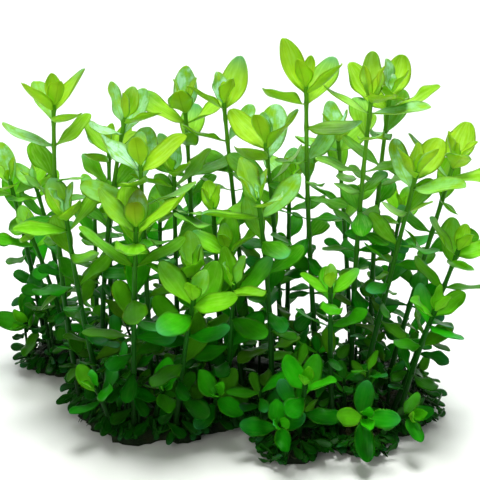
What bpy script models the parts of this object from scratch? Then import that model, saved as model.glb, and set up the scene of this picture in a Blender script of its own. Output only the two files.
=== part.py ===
"""Lemon bacopa: a stand of creeping water hyssop, cut off flat under its root mat.

Upright shoots rise from one low root mat. A shoot is a square-edged stem with leaves in
opposite pairs, each pair a quarter turn from the one below it. Young leaves stand up at the
tip, full-grown ones spread, and the oldest hang a little. Every shoot is one piece, because
its leaves grew out of its stem.

Places in the table of shoots are in millimetres; MM turns them into metres. X runs to the
right of the stand, Y to its back and Z up, from the flat underside of the root mat.
"""

import math
import random
from collections import namedtuple

import bmesh
import bpy
import numpy as np
from mathutils import Vector
from mathutils.bvhtree import BVHTree

MM = 0.001
NAME = "lemon_bacopa"
SEED = 11

# Stem: a square section that tapers from the foot to the tip.
STEM_RADIUS_FOOT = 1.9 * MM
STEM_RADIUS_TIP = 1.2 * MM
STEM_SIDES = 4
FOOT_GAP = 0.4 * MM
NODE_HEIGHT = 1.7 * MM
STEM_STRETCHES = 12
EARLY_LEAN = 0.15
NEARBY = 0.01

# Spacing of the leaf pairs down from the tip: a close head, then wide steps.
STEPS = (3.6 * MM, 6.4 * MM, 14.0 * MM, 20.0 * MM, 24.0 * MM)
BARE_FOOT = 36.0 * MM
BARE_SHARE = 0.20
BARE_LEAST = 3.0 * MM

# A leaf by its age, counted in pairs from the tip: length and width as shares of a
# full-grown leaf, the angle of its base above the level, and how far it bends down, or
# up where that is below zero.
LeafAge = namedtuple("LeafAge", "length width rise bend")
LEAF_AGES = (
    LeafAge(0.54, 0.76, 64, -12),
    LeafAge(0.88, 1.12, 33, -22),
    LeafAge(1.00, 1.14, 20, -24),
    LeafAge(0.92, 1.00, 16, -22),
    LeafAge(0.80, 0.92, 14, -16),
    LeafAge(0.68, 0.82, 10, 6),
    LeafAge(0.58, 0.73, 6, 18),
    LeafAge(0.52, 0.67, 0, 24),
    LeafAge(0.48, 0.63, -6, 26),
)
LEAF_WIDTH_SHARE = 0.42

# Leaves turn their faces to the light, which comes from above and a little in front, and
# those that point at it bend more. No bend is so small that its arc would have no centre.
LIGHT_FROM = np.array([0.0, -1.0, 0.0])
LIGHT_LEAN = 15
LIGHT_BEND = 8
LEAST_BEND = 1.0

# A plain blade: how far out its shoulders and cheeks stand, how wide, and the keel below.
KEEL_DEPTH = 1.1 * MM
SHOULDER_AT = 0.34
SHOULDER_WIDTH = 0.96
CHEEK_AT = 0.74
CHEEK_WIDTH = 0.72
CHEEK_KEEL = 0.8
PLAIN_LEAF_AT = 0.58
FULL_OUTLINE_PAIRS = (1, 2)
ROOT_AT = 0.01
ROOT_HALF_WIDTH = 1.2 * MM

# Triangles of the test blade: its outline's corners come first, then the two at its root.
PLAIN_BLADE = ((4, 5, 1), (4, 1, 0), (5, 2, 1), (4, 0, 2), (4, 2, 5), (0, 1, 3), (1, 2, 3), (2, 0, 3))
FULL_BLADE = ((7, 8, 1), (7, 1, 0), (8, 2, 1), (7, 0, 2), (7, 2, 8), (0, 1, 4), (0, 4, 3), (3, 4, 6),
              (1, 2, 5), (1, 5, 4), (2, 0, 3), (2, 3, 5), (4, 5, 6), (5, 3, 6))

# Small differences between leaves, and the ways a leaf turns aside to clear its neighbours.
LENGTH_VARIES = 0.10
RISE_VARIES = 7
TURN_VARIES = 9
ROLL_VARIES = 20
TWIST_VARIES = 24
BEND_VARIES = 0.5
CLEARANCE = 0.45 * MM
LOWEST_LEAF = 0.8 * MM
TURNS_ASIDE = (0, 13, -13, 26, -26, 38, -38)
RISES_ASIDE = (0, 11, -11, 22, -22)
SHORTER = (1.0, 0.88, 0.74, 0.58)

Shoot = namedtuple("Shoot", "name foot tip bow turn leaf")
SHOOTS = (
    Shoot("shoot_left_tall", (-101, -21), (-106, -25, 198), (-10, 0), 125, 33),
    Shoot("shoot_left_second", (-88, -7), (-67, -11, 188), (-6, 0), 60, 32),
    Shoot("shoot_left_inner", (-54, -39), (-56, -43, 167), (0, 0), 88, 36),
    Shoot("shoot_back_left", (-32, 21), (-34, 18, 189), (4, 0), 175, 35),
    Shoot("shoot_back_centre", (8, 16), (-10, 11, 193), (-4, 0), 130, 36),
    Shoot("shoot_centre_back", (27, -3), (15, -7, 172), (2, 0), 60, 36),
    Shoot("shoot_centre_front", (19, -46), (10, -50, 148), (4, 0), 20, 34),
    Shoot("shoot_right_tall", (50, -14), (38, -18, 207), (-6, 0), 54, 36),
    Shoot("shoot_right_pair_front", (69, -28), (74, -32, 204), (-4, 0), 5, 35),
    Shoot("shoot_right_pair_back", (84, -5), (88, -9, 202), (-6, 0), 156, 34),
    Shoot("shoot_right_back", (75, 28), (61, 25, 170), (0, 0), 5, 31),
    Shoot("shoot_right_leaning", (72, -43), (100, -43, 163), (4, 0), 140, 32),
    Shoot("shoot_far_right_top", (91, -25), (124, -28, 165), (4, 0), 170, 34),
    Shoot("shoot_far_right_low", (92, -48), (125, -50, 119), (6, 0), 90, 30),
    Shoot("shoot_far_right_front", (94, -55), (110, -68, 89), (0, 0), 120, 26),
    Shoot("shoot_left_edge", (-138, 60), (-149, 34, 138), (0, 0), 15, 31),
    Shoot("shoot_left_sprawl", (-128, 54), (-147, 38, 36), (-4, 0), 62, 26),
    Shoot("shoot_left_small_high", (-121, 50), (-134, 38, 136), (4, 0), 55, 24),
    Shoot("shoot_left_front", (-82, -45), (-99, -46, 139), (-6, 0), 30, 32),
    Shoot("shoot_left_small_low", (-114, 34), (-134, 14, 109), (0, 0), 10, 26),
    Shoot("shoot_front_left_main", (-63, -58), (-56, -73, 140), (0, -6), 90, 38),
    Shoot("shoot_centre_small_high", (-11, -18), (-16, -21, 135), (0, 0), 20, 26),
    Shoot("shoot_centre_small_mid", (2, -31), (-8, -39, 116), (0, 0), 80, 29),
    Shoot("shoot_centre_small_low", (-24, -50), (-27, -57, 108), (0, 0), 10, 30),
    Shoot("shoot_front_bright_left", (-38, -59), (-25, -80, 100), (0, -4), 60, 32),
    Shoot("shoot_front_bright_mid", (-8, -40), (-3, -66, 104), (0, -4), 35, 32),
    Shoot("shoot_right_front_mid", (55, -61), (51, -62, 101), (-2, 0), 90, 25),
    Shoot("shoot_front_right_a", (34, -74), (36, -92, 55), (0, -4), 70, 25),
    Shoot("shoot_front_right_b", (67, -66), (70, -93, 34), (0, 0), 95, 24),
    Shoot("shoot_front_right_c", (86, -58), (97, -84, 30), (0, 0), 20, 21),
    Shoot("shoot_front_right_low", (22, -72), (22, -89, 27), (0, 0), 15, 22),
    Shoot("shoot_front_left_low_a", (-76, -58), (-84, -66, 40), (0, 0), 40, 24),
    Shoot("shoot_front_left_low_b", (-50, -54), (-44, -64, 38), (0, 0), 10, 24),
    Shoot("shoot_front_left_low_c", (-16, -49), (-13, -65, 34), (0, 0), 60, 23),
    Shoot("shoot_back_left_small", (-86, 22), (-82, 21, 164), (0, 0), 65, 29),
    Shoot("shoot_mid_left_small", (-40, -2), (-40, -3, 154), (0, 0), 30, 30),
    Shoot("shoot_back_a", (-98, 39), (-95, 38, 125), (0, 0), 45, 27),
    Shoot("shoot_back_b", (-54, 42), (-53, 42, 112), (0, 0), 20, 27),
    Shoot("shoot_back_c", (32, 35), (32, 34, 143), (0, 0), 75, 27),
    Shoot("shoot_back_e", (93, 29), (104, 26, 122), (0, 0), 52, 27),
)

# The root mat: low mounds that run together, cut off flat at their foot.
Mound = namedtuple("Mound", "centre reach height")
MOUNDS = (
    Mound((-50, -28), (52, 38), 21),
    Mound((64, -30), (48, 38), 21),
    Mound((30, -62), (18, 26), 16),
    Mound((70, -62), (18, 16), 14),
    Mound((-16, -26), (28, 20), 16),
    Mound((0, 14), (72, 28), 20),
    Mound((92, -18), (30, 38), 19),
    Mound((70, 15), (52, 32), 19),
    Mound((-84, -6), (25, 31), 19),
    Mound((-66, 30), (50, 26), 18),
    Mound((-124, 50), (27, 22), 16),
)
MOUND_SEGMENTS = 12
MOUND_RINGS = 6
GROUND_SIDE = 600 * MM
GROUND_DEPTH = 60 * MM

STEM_GREEN = (0.05, 0.17, 0.012, 1.0)
MAT_BROWN = (0.020, 0.024, 0.008, 1.0)


def clear_scene():
    """Empty the scene of objects left from an earlier run."""
    for thing in list(bpy.data.objects):
        bpy.data.objects.remove(thing)


def make_collection(name):
    """Make a collection and hang it in the scene."""
    collection = bpy.data.collections.new(name)
    bpy.context.scene.collection.children.link(collection)
    return collection


def make_material(name, colour, roughness):
    """A Principled material with one colour and one roughness."""
    material = bpy.data.materials.new(name)
    material.use_nodes = True
    shader = material.node_tree.nodes["Principled BSDF"]
    shader.inputs["Base Color"].default_value = colour
    shader.inputs["Roughness"].default_value = roughness
    shader.inputs["Metallic"].default_value = 0.0
    return material


def unit(vectors):
    """Vectors scaled to length one."""
    return vectors / np.linalg.norm(vectors, axis=-1, keepdims=True)


def mat_height(x, y):
    """Height of the root mat above points: the highest of the squashed balls there."""
    height = np.zeros(np.broadcast(x, y).shape)
    for mound in MOUNDS:
        across = (np.asarray(x) / MM - mound.centre[0]) / mound.reach[0]
        along = (np.asarray(y) / MM - mound.centre[1]) / mound.reach[1]
        inside = np.clip(1.0 - across**2 - along**2, 0.0, None)
        height = np.maximum(height, mound.height * MM * np.sqrt(inside))
    return height


def stem_line(shoot, share):
    """Points of a stem's middle line, a quadratic curve that starts steep and leans over."""
    share = np.asarray(share, dtype=float)[..., None]
    foot = np.array([shoot.foot[0], shoot.foot[1], 0.0]) * MM
    foot[2] = mat_height(foot[0], foot[1])
    tip = np.array(shoot.tip) * MM
    middle = (foot + tip) / 2
    middle[:2] += np.array(shoot.bow) * MM - EARLY_LEAN * (tip - foot)[:2]
    return foot * (1 - share) ** 2 + middle * 2 * share * (1 - share) + tip * share**2


def stem_axes(shoot, share):
    """The stem's direction and the two directions in which its leaf pairs stand."""
    share = np.asarray(share, dtype=float)
    along = unit(stem_line(shoot, share + NEARBY) - stem_line(shoot, share - NEARBY))
    turn = math.radians(shoot.turn)
    level = np.array([math.cos(turn), math.sin(turn), 0.0])
    first = unit(level - along * (along @ level)[..., None])
    return along, first, np.cross(along, first)


def stem_radius(share):
    """Half the stem's width across its edges: it narrows evenly to the tip."""
    return STEM_RADIUS_FOOT + (STEM_RADIUS_TIP - STEM_RADIUS_FOOT) * np.asarray(share)


def stem_length(shoot):
    """The straight distance from a shoot's foot to its tip."""
    return float(np.linalg.norm(np.array(shoot.tip) * MM - stem_line(shoot, 0.0)))


def pair_places(shoot):
    """Shares of the stem's length at which leaf pairs stand, from the tip down."""
    length = stem_length(shoot)
    bare = min(BARE_FOOT, BARE_SHARE * length + BARE_LEAST)
    places = []
    down = NODE_HEIGHT
    while length - down > bare:
        places.append(1.0 - down / length)
        down += STEPS[min(len(places), len(STEPS)) - 1]
    return places


class Leaf:
    """One leaf: where it grows from and the shape it has when it hangs free."""

    def __init__(self, shoot, pair, side, share, dice):
        self.shoot = shoot
        self.pair = pair
        self.side = side
        self.share = share
        age = LEAF_AGES[min(pair, len(LEAF_AGES) - 1)]
        size = shoot.leaf * MM * (1 + dice.uniform(-LENGTH_VARIES, LENGTH_VARIES))
        self.length = size * age.length
        self.width = size * age.width * LEAF_WIDTH_SHARE
        along, first, second = stem_axes(shoot, share)
        straight = (first if pair % 2 == 0 else second) * (1 - 2 * side)
        lean = LIGHT_LEAN * math.cos(math.radians(age.rise))
        self.rise = age.rise + dice.uniform(-RISE_VARIES, RISE_VARIES) - lean * (straight @ LIGHT_FROM)
        bend = age.bend * (1 + dice.uniform(-BEND_VARIES, BEND_VARIES))
        bend += LIGHT_BEND * (straight @ LIGHT_FROM)
        self.bend = bend if abs(bend) > LEAST_BEND else LEAST_BEND
        self.twist = dice.uniform(-TWIST_VARIES, TWIST_VARIES)
        self.turn = dice.uniform(-TURN_VARIES, TURN_VARIES)
        self.roll = dice.uniform(-ROLL_VARIES, ROLL_VARIES)
        self.roll -= lean * (np.cross(along, straight) @ LIGHT_FROM)
        self.full = pair in FULL_OUTLINE_PAIRS

    def points(self, at, across, lift, grow=1.0):
        """Points of the blade: at shares of its length, across and above its middle line.

        The middle line is an arc. Its angle falls evenly from rise to rise less bend, so
        its reach outward and upward are differences of sines and of cosines over bend.
        """
        at = np.asarray(at, dtype=float)[..., None]
        across = np.asarray(across, dtype=float)[..., None]
        lift = np.asarray(lift, dtype=float)[..., None]
        along, first, second = stem_axes(self.shoot, self.share)
        facing = first if self.pair % 2 == 0 else second
        straight = facing if self.side == 0 else -facing
        sideways = np.cross(along, straight)
        turn, rise, bend = np.radians([self.turn, self.rise, self.bend])
        roll = np.radians(self.roll + self.twist * (at - 0.5))
        out = straight * math.cos(turn) + sideways * math.sin(turn)
        side = np.cross(along, out)
        angle = rise - bend * at
        length = self.length * grow
        forward = length * (math.sin(rise) - np.sin(angle)) / bend
        upward = length * (np.cos(angle) - math.cos(rise)) / bend
        above = along * np.cos(angle) - out * np.sin(angle)
        base = stem_line(self.shoot, self.share)
        base = base + straight * stem_radius(self.share) * math.sqrt(0.5)
        return (base + out * forward + along * upward
                + (side * np.cos(roll) + above * np.sin(roll)) * across
                + (above * np.cos(roll) - side * np.sin(roll)) * lift)

    def outline(self, spare=0.0):
        """Corners of the plain blade: shoulders and keel, then cheeks and keel, then the tip."""
        half = self.width * 0.5
        grow = 1.0 + spare / self.length
        if not self.full:
            across = half + spare
            return self.points([PLAIN_LEAF_AT] * 3 + [1.0], [across, -across, 0, 0],
                               [spare, spare, -KEEL_DEPTH - spare, 0], grow)
        wide = half * SHOULDER_WIDTH + spare
        cheek = half * CHEEK_WIDTH + spare
        deep = -CHEEK_KEEL * KEEL_DEPTH - spare
        return self.points([SHOULDER_AT] * 3 + [CHEEK_AT] * 3 + [1.0],
                           [wide, -wide, 0, cheek, -cheek, 0, 0],
                           [spare, spare, -KEEL_DEPTH - spare, spare, spare, deep, 0], grow)

    def test_surface(self):
        """The plain blade a little too large, for finding what it would touch."""
        root = self.points([ROOT_AT] * 2, [ROOT_HALF_WIDTH, -ROOT_HALF_WIDTH], [0, 0])
        triangles = FULL_BLADE if self.full else PLAIN_BLADE
        return np.concatenate([self.outline(CLEARANCE), root]), triangles


class Crowd:
    """Closed shapes that stand in the way of new leaves, each with the name of its owner."""

    def __init__(self):
        self.trees = []
        self.owners = []
        self.lows = np.empty((0, 3))
        self.highs = np.empty((0, 3))

    def add(self, owner, points, triangles):
        """Put a shape in the crowd."""
        self.trees.append(BVHTree.FromPolygons(points.tolist(), triangles))
        self.owners.append(owner)
        self.lows = np.vstack([self.lows, points.min(axis=0)])
        self.highs = np.vstack([self.highs, points.max(axis=0)])

    def touches(self, points, triangles, ignored=None):
        """Say whether a shape would touch any in the crowd, apart from one owner's."""
        near = np.all((self.lows <= points.max(axis=0)) & (points.min(axis=0) <= self.highs),
                      axis=1)
        tree = BVHTree.FromPolygons(points.tolist(), triangles)
        return any(self.owners[index] != ignored and tree.overlap(self.trees[index])
                   for index in np.flatnonzero(near))


def stem_ring(shoot, share, spare=0.0):
    """The four corners of the plain stem, between the faces that carry the leaves."""
    along, first, second = stem_axes(shoot, share)
    half = (stem_radius(share) + spare) * math.sqrt(0.5)
    corners = np.array(((1, -1), (1, 1), (-1, 1), (-1, -1))) * half
    return stem_line(shoot, share) + corners @ np.array([first, second])


def crowd_of_stems():
    """Every stem in short stretches, each a little too thick."""
    crowd = Crowd()
    triangles = []
    for corner in range(STEM_SIDES):
        after = (corner + 1) % STEM_SIDES
        triangles.append((corner, after, after + STEM_SIDES))
        triangles.append((corner, after + STEM_SIDES, corner + STEM_SIDES))
    for shoot in SHOOTS:
        rings = [stem_ring(shoot, share, CLEARANCE)
                 for share in np.linspace(0.0, 1.0, STEM_STRETCHES + 1)]
        for lower, upper in zip(rings, rings[1:]):
            crowd.add(shoot.name, np.concatenate([lower, upper]), triangles)
    return crowd


def settle(leaf, stems, leaves):
    """Turn, lift or shorten a leaf until it touches nothing; say whether it found room."""
    turn, rise, length, width = leaf.turn, leaf.rise, leaf.length, leaf.width
    for share in SHORTER:
        for turn_aside in TURNS_ASIDE:
            for rise_aside in RISES_ASIDE:
                leaf.turn = turn + turn_aside
                leaf.rise = rise + rise_aside
                leaf.length = length * share
                leaf.width = width * math.sqrt(share)
                points, triangles = leaf.test_surface()
                if np.min(points[:, 2] - mat_height(points[:, 0], points[:, 1])) < LOWEST_LEAF:
                    continue
                if stems.touches(points, triangles, ignored=leaf.shoot.name):
                    continue
                if not leaves.touches(points, triangles):
                    leaves.add(leaf.shoot.name, points, triangles)
                    return True
    return False


def grow_leaves():
    """Lay out every leaf of the stand, the youngest first, and keep those that find room."""
    dice = random.Random(SEED)
    wanted = []
    for shoot in SHOOTS:
        for pair, share in enumerate(pair_places(shoot)):
            for side in (0, 1):
                wanted.append(Leaf(shoot, pair, side, share, dice))
    wanted.sort(key=lambda leaf: leaf.pair)
    stems = crowd_of_stems()
    leaves = Crowd()
    grown = {shoot.name: [] for shoot in SHOOTS}
    for leaf in wanted:
        if settle(leaf, stems, leaves):
            grown[leaf.shoot.name].append(leaf)
    return grown


def foot_ring(shoot):
    """The stem's lowest corners, each a small gap above the root mat."""
    corners = stem_ring(shoot, 0.0)
    corners[:, 2] = mat_height(corners[:, 0], corners[:, 1]) + FOOT_GAP
    return corners


def fold_outward(mesh, a, b, c, d):
    """Cover a bent quad with two triangles that meet along its outer diagonal."""
    if (d.co - a.co).dot((b.co - a.co).cross(c.co - a.co)) > 0:
        a, b, c, d = b, c, d, a
    mesh.faces.new((a, b, c))
    mesh.faces.new((a, c, d))


def loft_leaf(mesh, corners, leaf):
    """Loft a blade from the four corners of a stem face; the keel runs under its middle.

    The corners come lower left, lower right, upper right, upper left, seen from outside.
    """
    lower_left, lower_right, upper_right, upper_left = corners
    *near, tip = [mesh.verts.new(point) for point in leaf.outline()]
    right, left, keel = near[:3]
    far_right, far_left, far_keel = near[-3:]
    fold_outward(mesh, upper_left, left, right, upper_right)
    fold_outward(mesh, upper_right, right, keel, lower_right)
    fold_outward(mesh, left, upper_left, lower_left, keel)
    mesh.faces.new((lower_right, keel, lower_left))
    mesh.faces.new((far_right, far_left, tip))
    mesh.faces.new((far_keel, far_right, tip))
    mesh.faces.new((far_left, far_keel, tip))
    if leaf.full:
        fold_outward(mesh, right, left, far_left, far_right)
        fold_outward(mesh, keel, right, far_right, far_keel)
        fold_outward(mesh, left, keel, far_keel, far_left)


def make_shoot(shoot, leaves, collection, material):
    """One shoot: a stem drawn ring by ring, with each leaf lofted from the face it grew on."""
    half_node = 0.5 * NODE_HEIGHT / stem_length(shoot)
    by_place = {(leaf.pair, leaf.side): leaf for leaf in leaves}
    mesh = bmesh.new()
    lower = [mesh.verts.new(corner) for corner in foot_ring(shoot)]
    mesh.faces.new(reversed(lower))
    for pair, share in reversed(list(enumerate(pair_places(shoot)))):
        for share_here, at_node in ((share - half_node, False), (share + half_node, True)):
            upper = [mesh.verts.new(corner) for corner in stem_ring(shoot, share_here)]
            for corner in range(STEM_SIDES):
                after = (corner + 1) % STEM_SIDES
                side_face = (lower[corner], lower[after], upper[after], upper[corner])
                on_pair = corner % 2 == pair % 2
                leaf = by_place.get((pair, corner // 2)) if at_node and on_pair else None
                if leaf:
                    loft_leaf(mesh, side_face, leaf)
                else:
                    mesh.faces.new(side_face)
            lower = upper
    mesh.faces.new(lower)
    data = bpy.data.meshes.new(shoot.name)
    mesh.to_mesh(data)
    mesh.free()
    data.materials.append(material)
    thing = bpy.data.objects.new(shoot.name, data)
    collection.objects.link(thing)


def add_mound(name, mound, collection):
    """A mound as a whole squashed ball around the level of the cut."""
    bpy.ops.mesh.primitive_uv_sphere_add(segments=MOUND_SEGMENTS, ring_count=MOUND_RINGS,
                                         radius=1.0)
    ball = bpy.context.object
    ball.name = name
    ball.data.name = name
    size = Vector((mound.reach[0], mound.reach[1], mound.height)) * MM
    place = Vector((mound.centre[0], mound.centre[1], 0.0)) * MM
    for vertex in ball.data.vertices:
        vertex.co = Vector(a * b for a, b in zip(vertex.co, size)) + place
    for other in list(ball.users_collection):
        other.objects.unlink(ball)
    collection.objects.link(ball)
    return ball


def add_boolean(thing, operation, operand):
    """Join another body to a thing, or cut it away, and leave the operand as a guide."""
    operand.hide_render = True
    operand.display_type = "WIRE"
    cut = thing.modifiers.new(operand.name, "BOOLEAN")
    cut.operation = operation
    cut.solver = "EXACT"
    cut.object = operand


def make_root_mat(collection, guides, material):
    """The root mat: its mounds joined, and everything below the level of the cut removed."""
    root_mat = add_mound("root_mat", MOUNDS[0], collection)
    for index, mound in enumerate(MOUNDS[1:], start=1):
        add_boolean(root_mat, "UNION", add_mound(f"mound_{index}", mound, guides))
    bpy.ops.mesh.primitive_cube_add(size=1.0)
    ground = bpy.context.object
    ground.name = "below_the_cut"
    for vertex in ground.data.vertices:
        x, y, z = vertex.co
        vertex.co = Vector((x * GROUND_SIDE, y * GROUND_SIDE, (z - 0.5) * GROUND_DEPTH))
    for other in list(ground.users_collection):
        other.objects.unlink(ground)
    guides.objects.link(ground)
    add_boolean(root_mat, "DIFFERENCE", ground)
    root_mat.data.materials.append(material)


def main():
    clear_scene()
    plant = make_collection(NAME)
    guides = make_collection("guides")
    green = make_material("bacopa_green", STEM_GREEN, 0.45)
    brown = make_material("root_brown", MAT_BROWN, 0.85)
    make_root_mat(plant, guides, brown)
    grown = grow_leaves()
    for shoot in SHOOTS:
        make_shoot(shoot, grown[shoot.name], plant, green)


main()
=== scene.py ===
# %% [markdown]
# # Lemon bacopa, a stand of lemon-scented water hyssop
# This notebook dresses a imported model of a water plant. Forty upright shoots rise from one
# low root mat. Each shoot is a round stem with opposite leaves in crossed pairs. The heads
# are bright lime, the lower leaves dark green, and the foot is a dark tangle of creeping
# stems, roots and old leaves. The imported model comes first, because every surface below
# is laid over it. Lengths are in metres, and MM turns millimetres into metres.

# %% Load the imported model
import math
import random
from collections import namedtuple

import bpy
import numpy as np
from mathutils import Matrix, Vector
from mathutils.bvhtree import BVHTree


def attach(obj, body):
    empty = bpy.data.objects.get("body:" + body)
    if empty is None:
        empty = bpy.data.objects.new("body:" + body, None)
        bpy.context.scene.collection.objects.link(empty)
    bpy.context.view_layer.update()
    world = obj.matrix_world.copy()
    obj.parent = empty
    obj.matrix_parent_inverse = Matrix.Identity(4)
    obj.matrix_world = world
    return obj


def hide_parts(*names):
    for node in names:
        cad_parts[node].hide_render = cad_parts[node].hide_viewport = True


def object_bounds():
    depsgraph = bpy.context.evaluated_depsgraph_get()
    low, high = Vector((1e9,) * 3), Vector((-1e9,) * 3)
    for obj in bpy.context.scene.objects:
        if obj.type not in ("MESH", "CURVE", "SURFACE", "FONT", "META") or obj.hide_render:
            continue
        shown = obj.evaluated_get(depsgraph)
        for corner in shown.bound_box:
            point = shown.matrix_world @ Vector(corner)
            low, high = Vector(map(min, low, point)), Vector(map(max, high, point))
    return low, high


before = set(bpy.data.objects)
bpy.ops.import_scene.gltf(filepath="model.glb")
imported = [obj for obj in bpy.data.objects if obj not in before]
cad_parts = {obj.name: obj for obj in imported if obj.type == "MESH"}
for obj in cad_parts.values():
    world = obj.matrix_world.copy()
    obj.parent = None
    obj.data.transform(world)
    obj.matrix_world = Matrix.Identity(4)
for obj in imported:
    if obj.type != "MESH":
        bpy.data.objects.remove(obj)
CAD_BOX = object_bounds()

MM = 0.001
print("packed box", [[round(value, 4) for value in corner] for corner in CAD_BOX])

# %% [markdown]
# ## Camera, floor and light
# The photograph looks a little down on the stand, from about 0.6 m away. A lens is easier
# to match from a known distance: the focal length in pixels over the picture's width,
# times the width of the sensor, gives the lens in millimetres. The floor curves up into a
# backdrop, so that no line shows behind the plant. The photograph's light falls from above
# and is soft, so the strongest soft box hangs overhead. One behind lights the rims of
# leaves, and a weak one in front opens the shade a little.

# %% Camera
EYE = Vector((0.0, -575 * MM, 290 * MM))
LOOK_AT = Vector((0.0, -15 * MM, 112 * MM))
FOCAL_PIXELS = 970
PICTURE_PIXELS = 480
SENSOR_MM = 36.0

camera_data = bpy.data.cameras.new("camera")
camera_data.sensor_width = SENSOR_MM
camera_data.lens = FOCAL_PIXELS / PICTURE_PIXELS * SENSOR_MM
camera_data.clip_start = 10 * MM
camera = bpy.data.objects.new("camera", camera_data)
camera.location = EYE
camera.rotation_euler = (LOOK_AT - EYE).to_track_quat("-Z", "Y").to_euler()
bpy.context.collection.objects.link(camera)
bpy.context.scene.camera = camera
print("lens", round(camera_data.lens, 2), "mm")

# %% Colours, and meshes from arrays
def linear(colour):
    """A hex colour in sRGB as linear red, green and blue: the standard two-part curve."""
    shares = np.array([int(colour[i:i + 2], 16) for i in (1, 3, 5)]) / 255
    bright = ((shares + 0.055) / 1.055) ** 2.4
    return (*np.where(shares <= 0.04045, shares / 12.92, bright), 1.0)


def make_object(name, points, faces, material, facts=None, uv=None):
    """A smooth mesh from point and face arrays.

    Facts is a colour for each point, uv a pair for each point; both are read by materials.
    """
    mesh = bpy.data.meshes.new(name)
    mesh.from_pydata(points.tolist(), [], faces)
    mesh.shade_smooth()
    mesh.materials.append(material)
    if facts is not None:
        layer = mesh.attributes.new("leaf_facts", "FLOAT_COLOR", "POINT")
        layer.data.foreach_set("color", np.ascontiguousarray(facts, dtype=np.float32).ravel())
    if uv is not None:
        corners = np.empty(len(mesh.loops), dtype=np.int32)
        mesh.loops.foreach_get("vertex_index", corners)
        layer = mesh.uv_layers.new(name="UVMap")
        layer.data.foreach_set("uv", np.ascontiguousarray(uv[corners], dtype=np.float32).ravel())
    thing = bpy.data.objects.new(name, mesh)
    bpy.context.collection.objects.link(thing)
    return thing


print("middle grey in linear light", round(float(linear("#808080")[0]), 3))

# %% [markdown]
# ## Materials as trees of nodes
# A material is a tree of small nodes that ends in one shader. Naming and linking them one
# by one would hide what they do, so one helper adds a node, fills its sockets from left to
# right and hands back its output. What a whole chain works out then reads like a formula.

# %% Helpers for materials
def fill_socket(tree, socket, value):
    """Link a socket to another node's output, or give it a constant."""
    if isinstance(value, bpy.types.NodeSocket):
        tree.links.new(value, socket)
    else:
        socket.default_value = value


def add_node(tree, kind, *values, out=None, stops=(), **settings):
    """Add a shader node with its settings and links, and return its first live output.

    Values fill its live sockets in their order. A word before them is what a Math node
    works out, or how a Mix node blends two colours. Settings fill properties, or sockets
    by name. Stops are a ramp's places and colours. Out names what else to return instead.
    """
    node = tree.nodes.new("ShaderNode" + kind)
    if kind == "Mix":
        node.data_type = "RGBA"
    if values and isinstance(values[0], str):
        setattr(node, "operation" if kind == "Math" else "blend_type", values[0])
        values = values[1:]
    for name, value in settings.items():
        if hasattr(node, name):
            setattr(node, name, value)
        else:
            fill_socket(tree, node.inputs[name.replace("_", " ")], value)
    for socket, value in zip([socket for socket in node.inputs if socket.enabled], values):
        fill_socket(tree, socket, value)
    if stops:
        elements = node.color_ramp.elements
        while len(elements) < len(stops):
            elements.new(0.5)
        for element, (place, colour) in zip(elements, stops):
            element.position = place
            element.color = linear(colour)
    if isinstance(out, str):
        return node.outputs[out]
    if out:
        return [node.outputs[name] for name in out]
    return next(socket for socket in node.outputs if socket.enabled)


def new_material(name, **settings):
    """A material with one Principled shader whose constant sockets are set by name."""
    material = bpy.data.materials.new(name)
    material.use_nodes = True
    shader = material.node_tree.nodes["Principled BSDF"]
    for key, value in settings.items():
        shader.inputs[key.replace("_", " ")].default_value = value
    return material, material.node_tree, shader


# %% Floor and backdrop
FLOOR_DROP = 0.3 * MM
FLOOR_HALF = 3.0
SWEEP_START = 0.9
SWEEP_RADIUS = 0.8
SWEEP_STEPS = 24

# Backdrop paper is rolled from pulp and not coated, so it scatters light and has no gloss.
paper, _, _ = new_material("matt_white_backdrop_paper", Base_Color=linear("#F4F5F3"),
                           Roughness=0.9)


def floor_profile():
    """The floor seen from its end: level, then a quarter circle, then straight up."""
    turn = np.linspace(0, math.pi / 2, SWEEP_STEPS)
    along = SWEEP_START + SWEEP_RADIUS * np.sin(turn)
    up = SWEEP_RADIUS * (1 - np.cos(turn))
    along = np.concatenate([[-FLOOR_HALF], along, [along[-1]]])
    up = np.concatenate([[0], up, [FLOOR_HALF]])
    return along, up - FLOOR_DROP


along, up = floor_profile()
count = len(along)
floor_points = np.array([[side * FLOOR_HALF, a, u] for side in (-1, 1) for a, u in zip(along, up)])
floor_faces = [(i, i + count, i + count + 1, i + 1) for i in range(count - 1)]
floor = make_object("floor", floor_points, floor_faces, paper)
print("floor faces", len(floor_faces))

# %% Lights
# Each soft box: its place, what it faces, its side in metres, its power and its colour.
LAMPS = (
    ("overhead_softbox", (0.10, -0.25, 2.30), (0.0, 0.0, 0.10), 0.90, 56.0, "#FBFDFA"),
    ("rear_rim_softbox", (-0.40, 1.70, 1.60), (0.0, 0.0, 0.15), 0.80, 24.0, "#F0FAFF"),
    ("front_fill_softbox", (-0.70, -1.80, 1.10), (0.0, 0.0, 0.08), 1.00, 9.0, "#FFFDF4"),
)
ROOM_LIGHT = 0.30


def add_lamp(name, place, target, size, power, colour):
    """A square area light at a place, turned to face a target."""
    data = bpy.data.lights.new(name, "AREA")
    data.size = size
    data.energy = power
    data.color = linear(colour)[:3]
    lamp = bpy.data.objects.new(name, data)
    lamp.location = place
    lamp.rotation_euler = (Vector(target) - Vector(place)).to_track_quat("-Z", "Y").to_euler()
    bpy.context.collection.objects.link(lamp)


for lamp in LAMPS:
    add_lamp(*lamp)
world = bpy.data.worlds.new("studio")
world.use_nodes = True
world.node_tree.nodes["Background"].inputs["Color"].default_value = linear("#F8FAF8")
world.node_tree.nodes["Background"].inputs["Strength"].default_value = ROOM_LIGHT
bpy.context.scene.world = world
bpy.context.scene.view_settings.view_transform = "Standard"
print("lamps", len(LAMPS))

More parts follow.
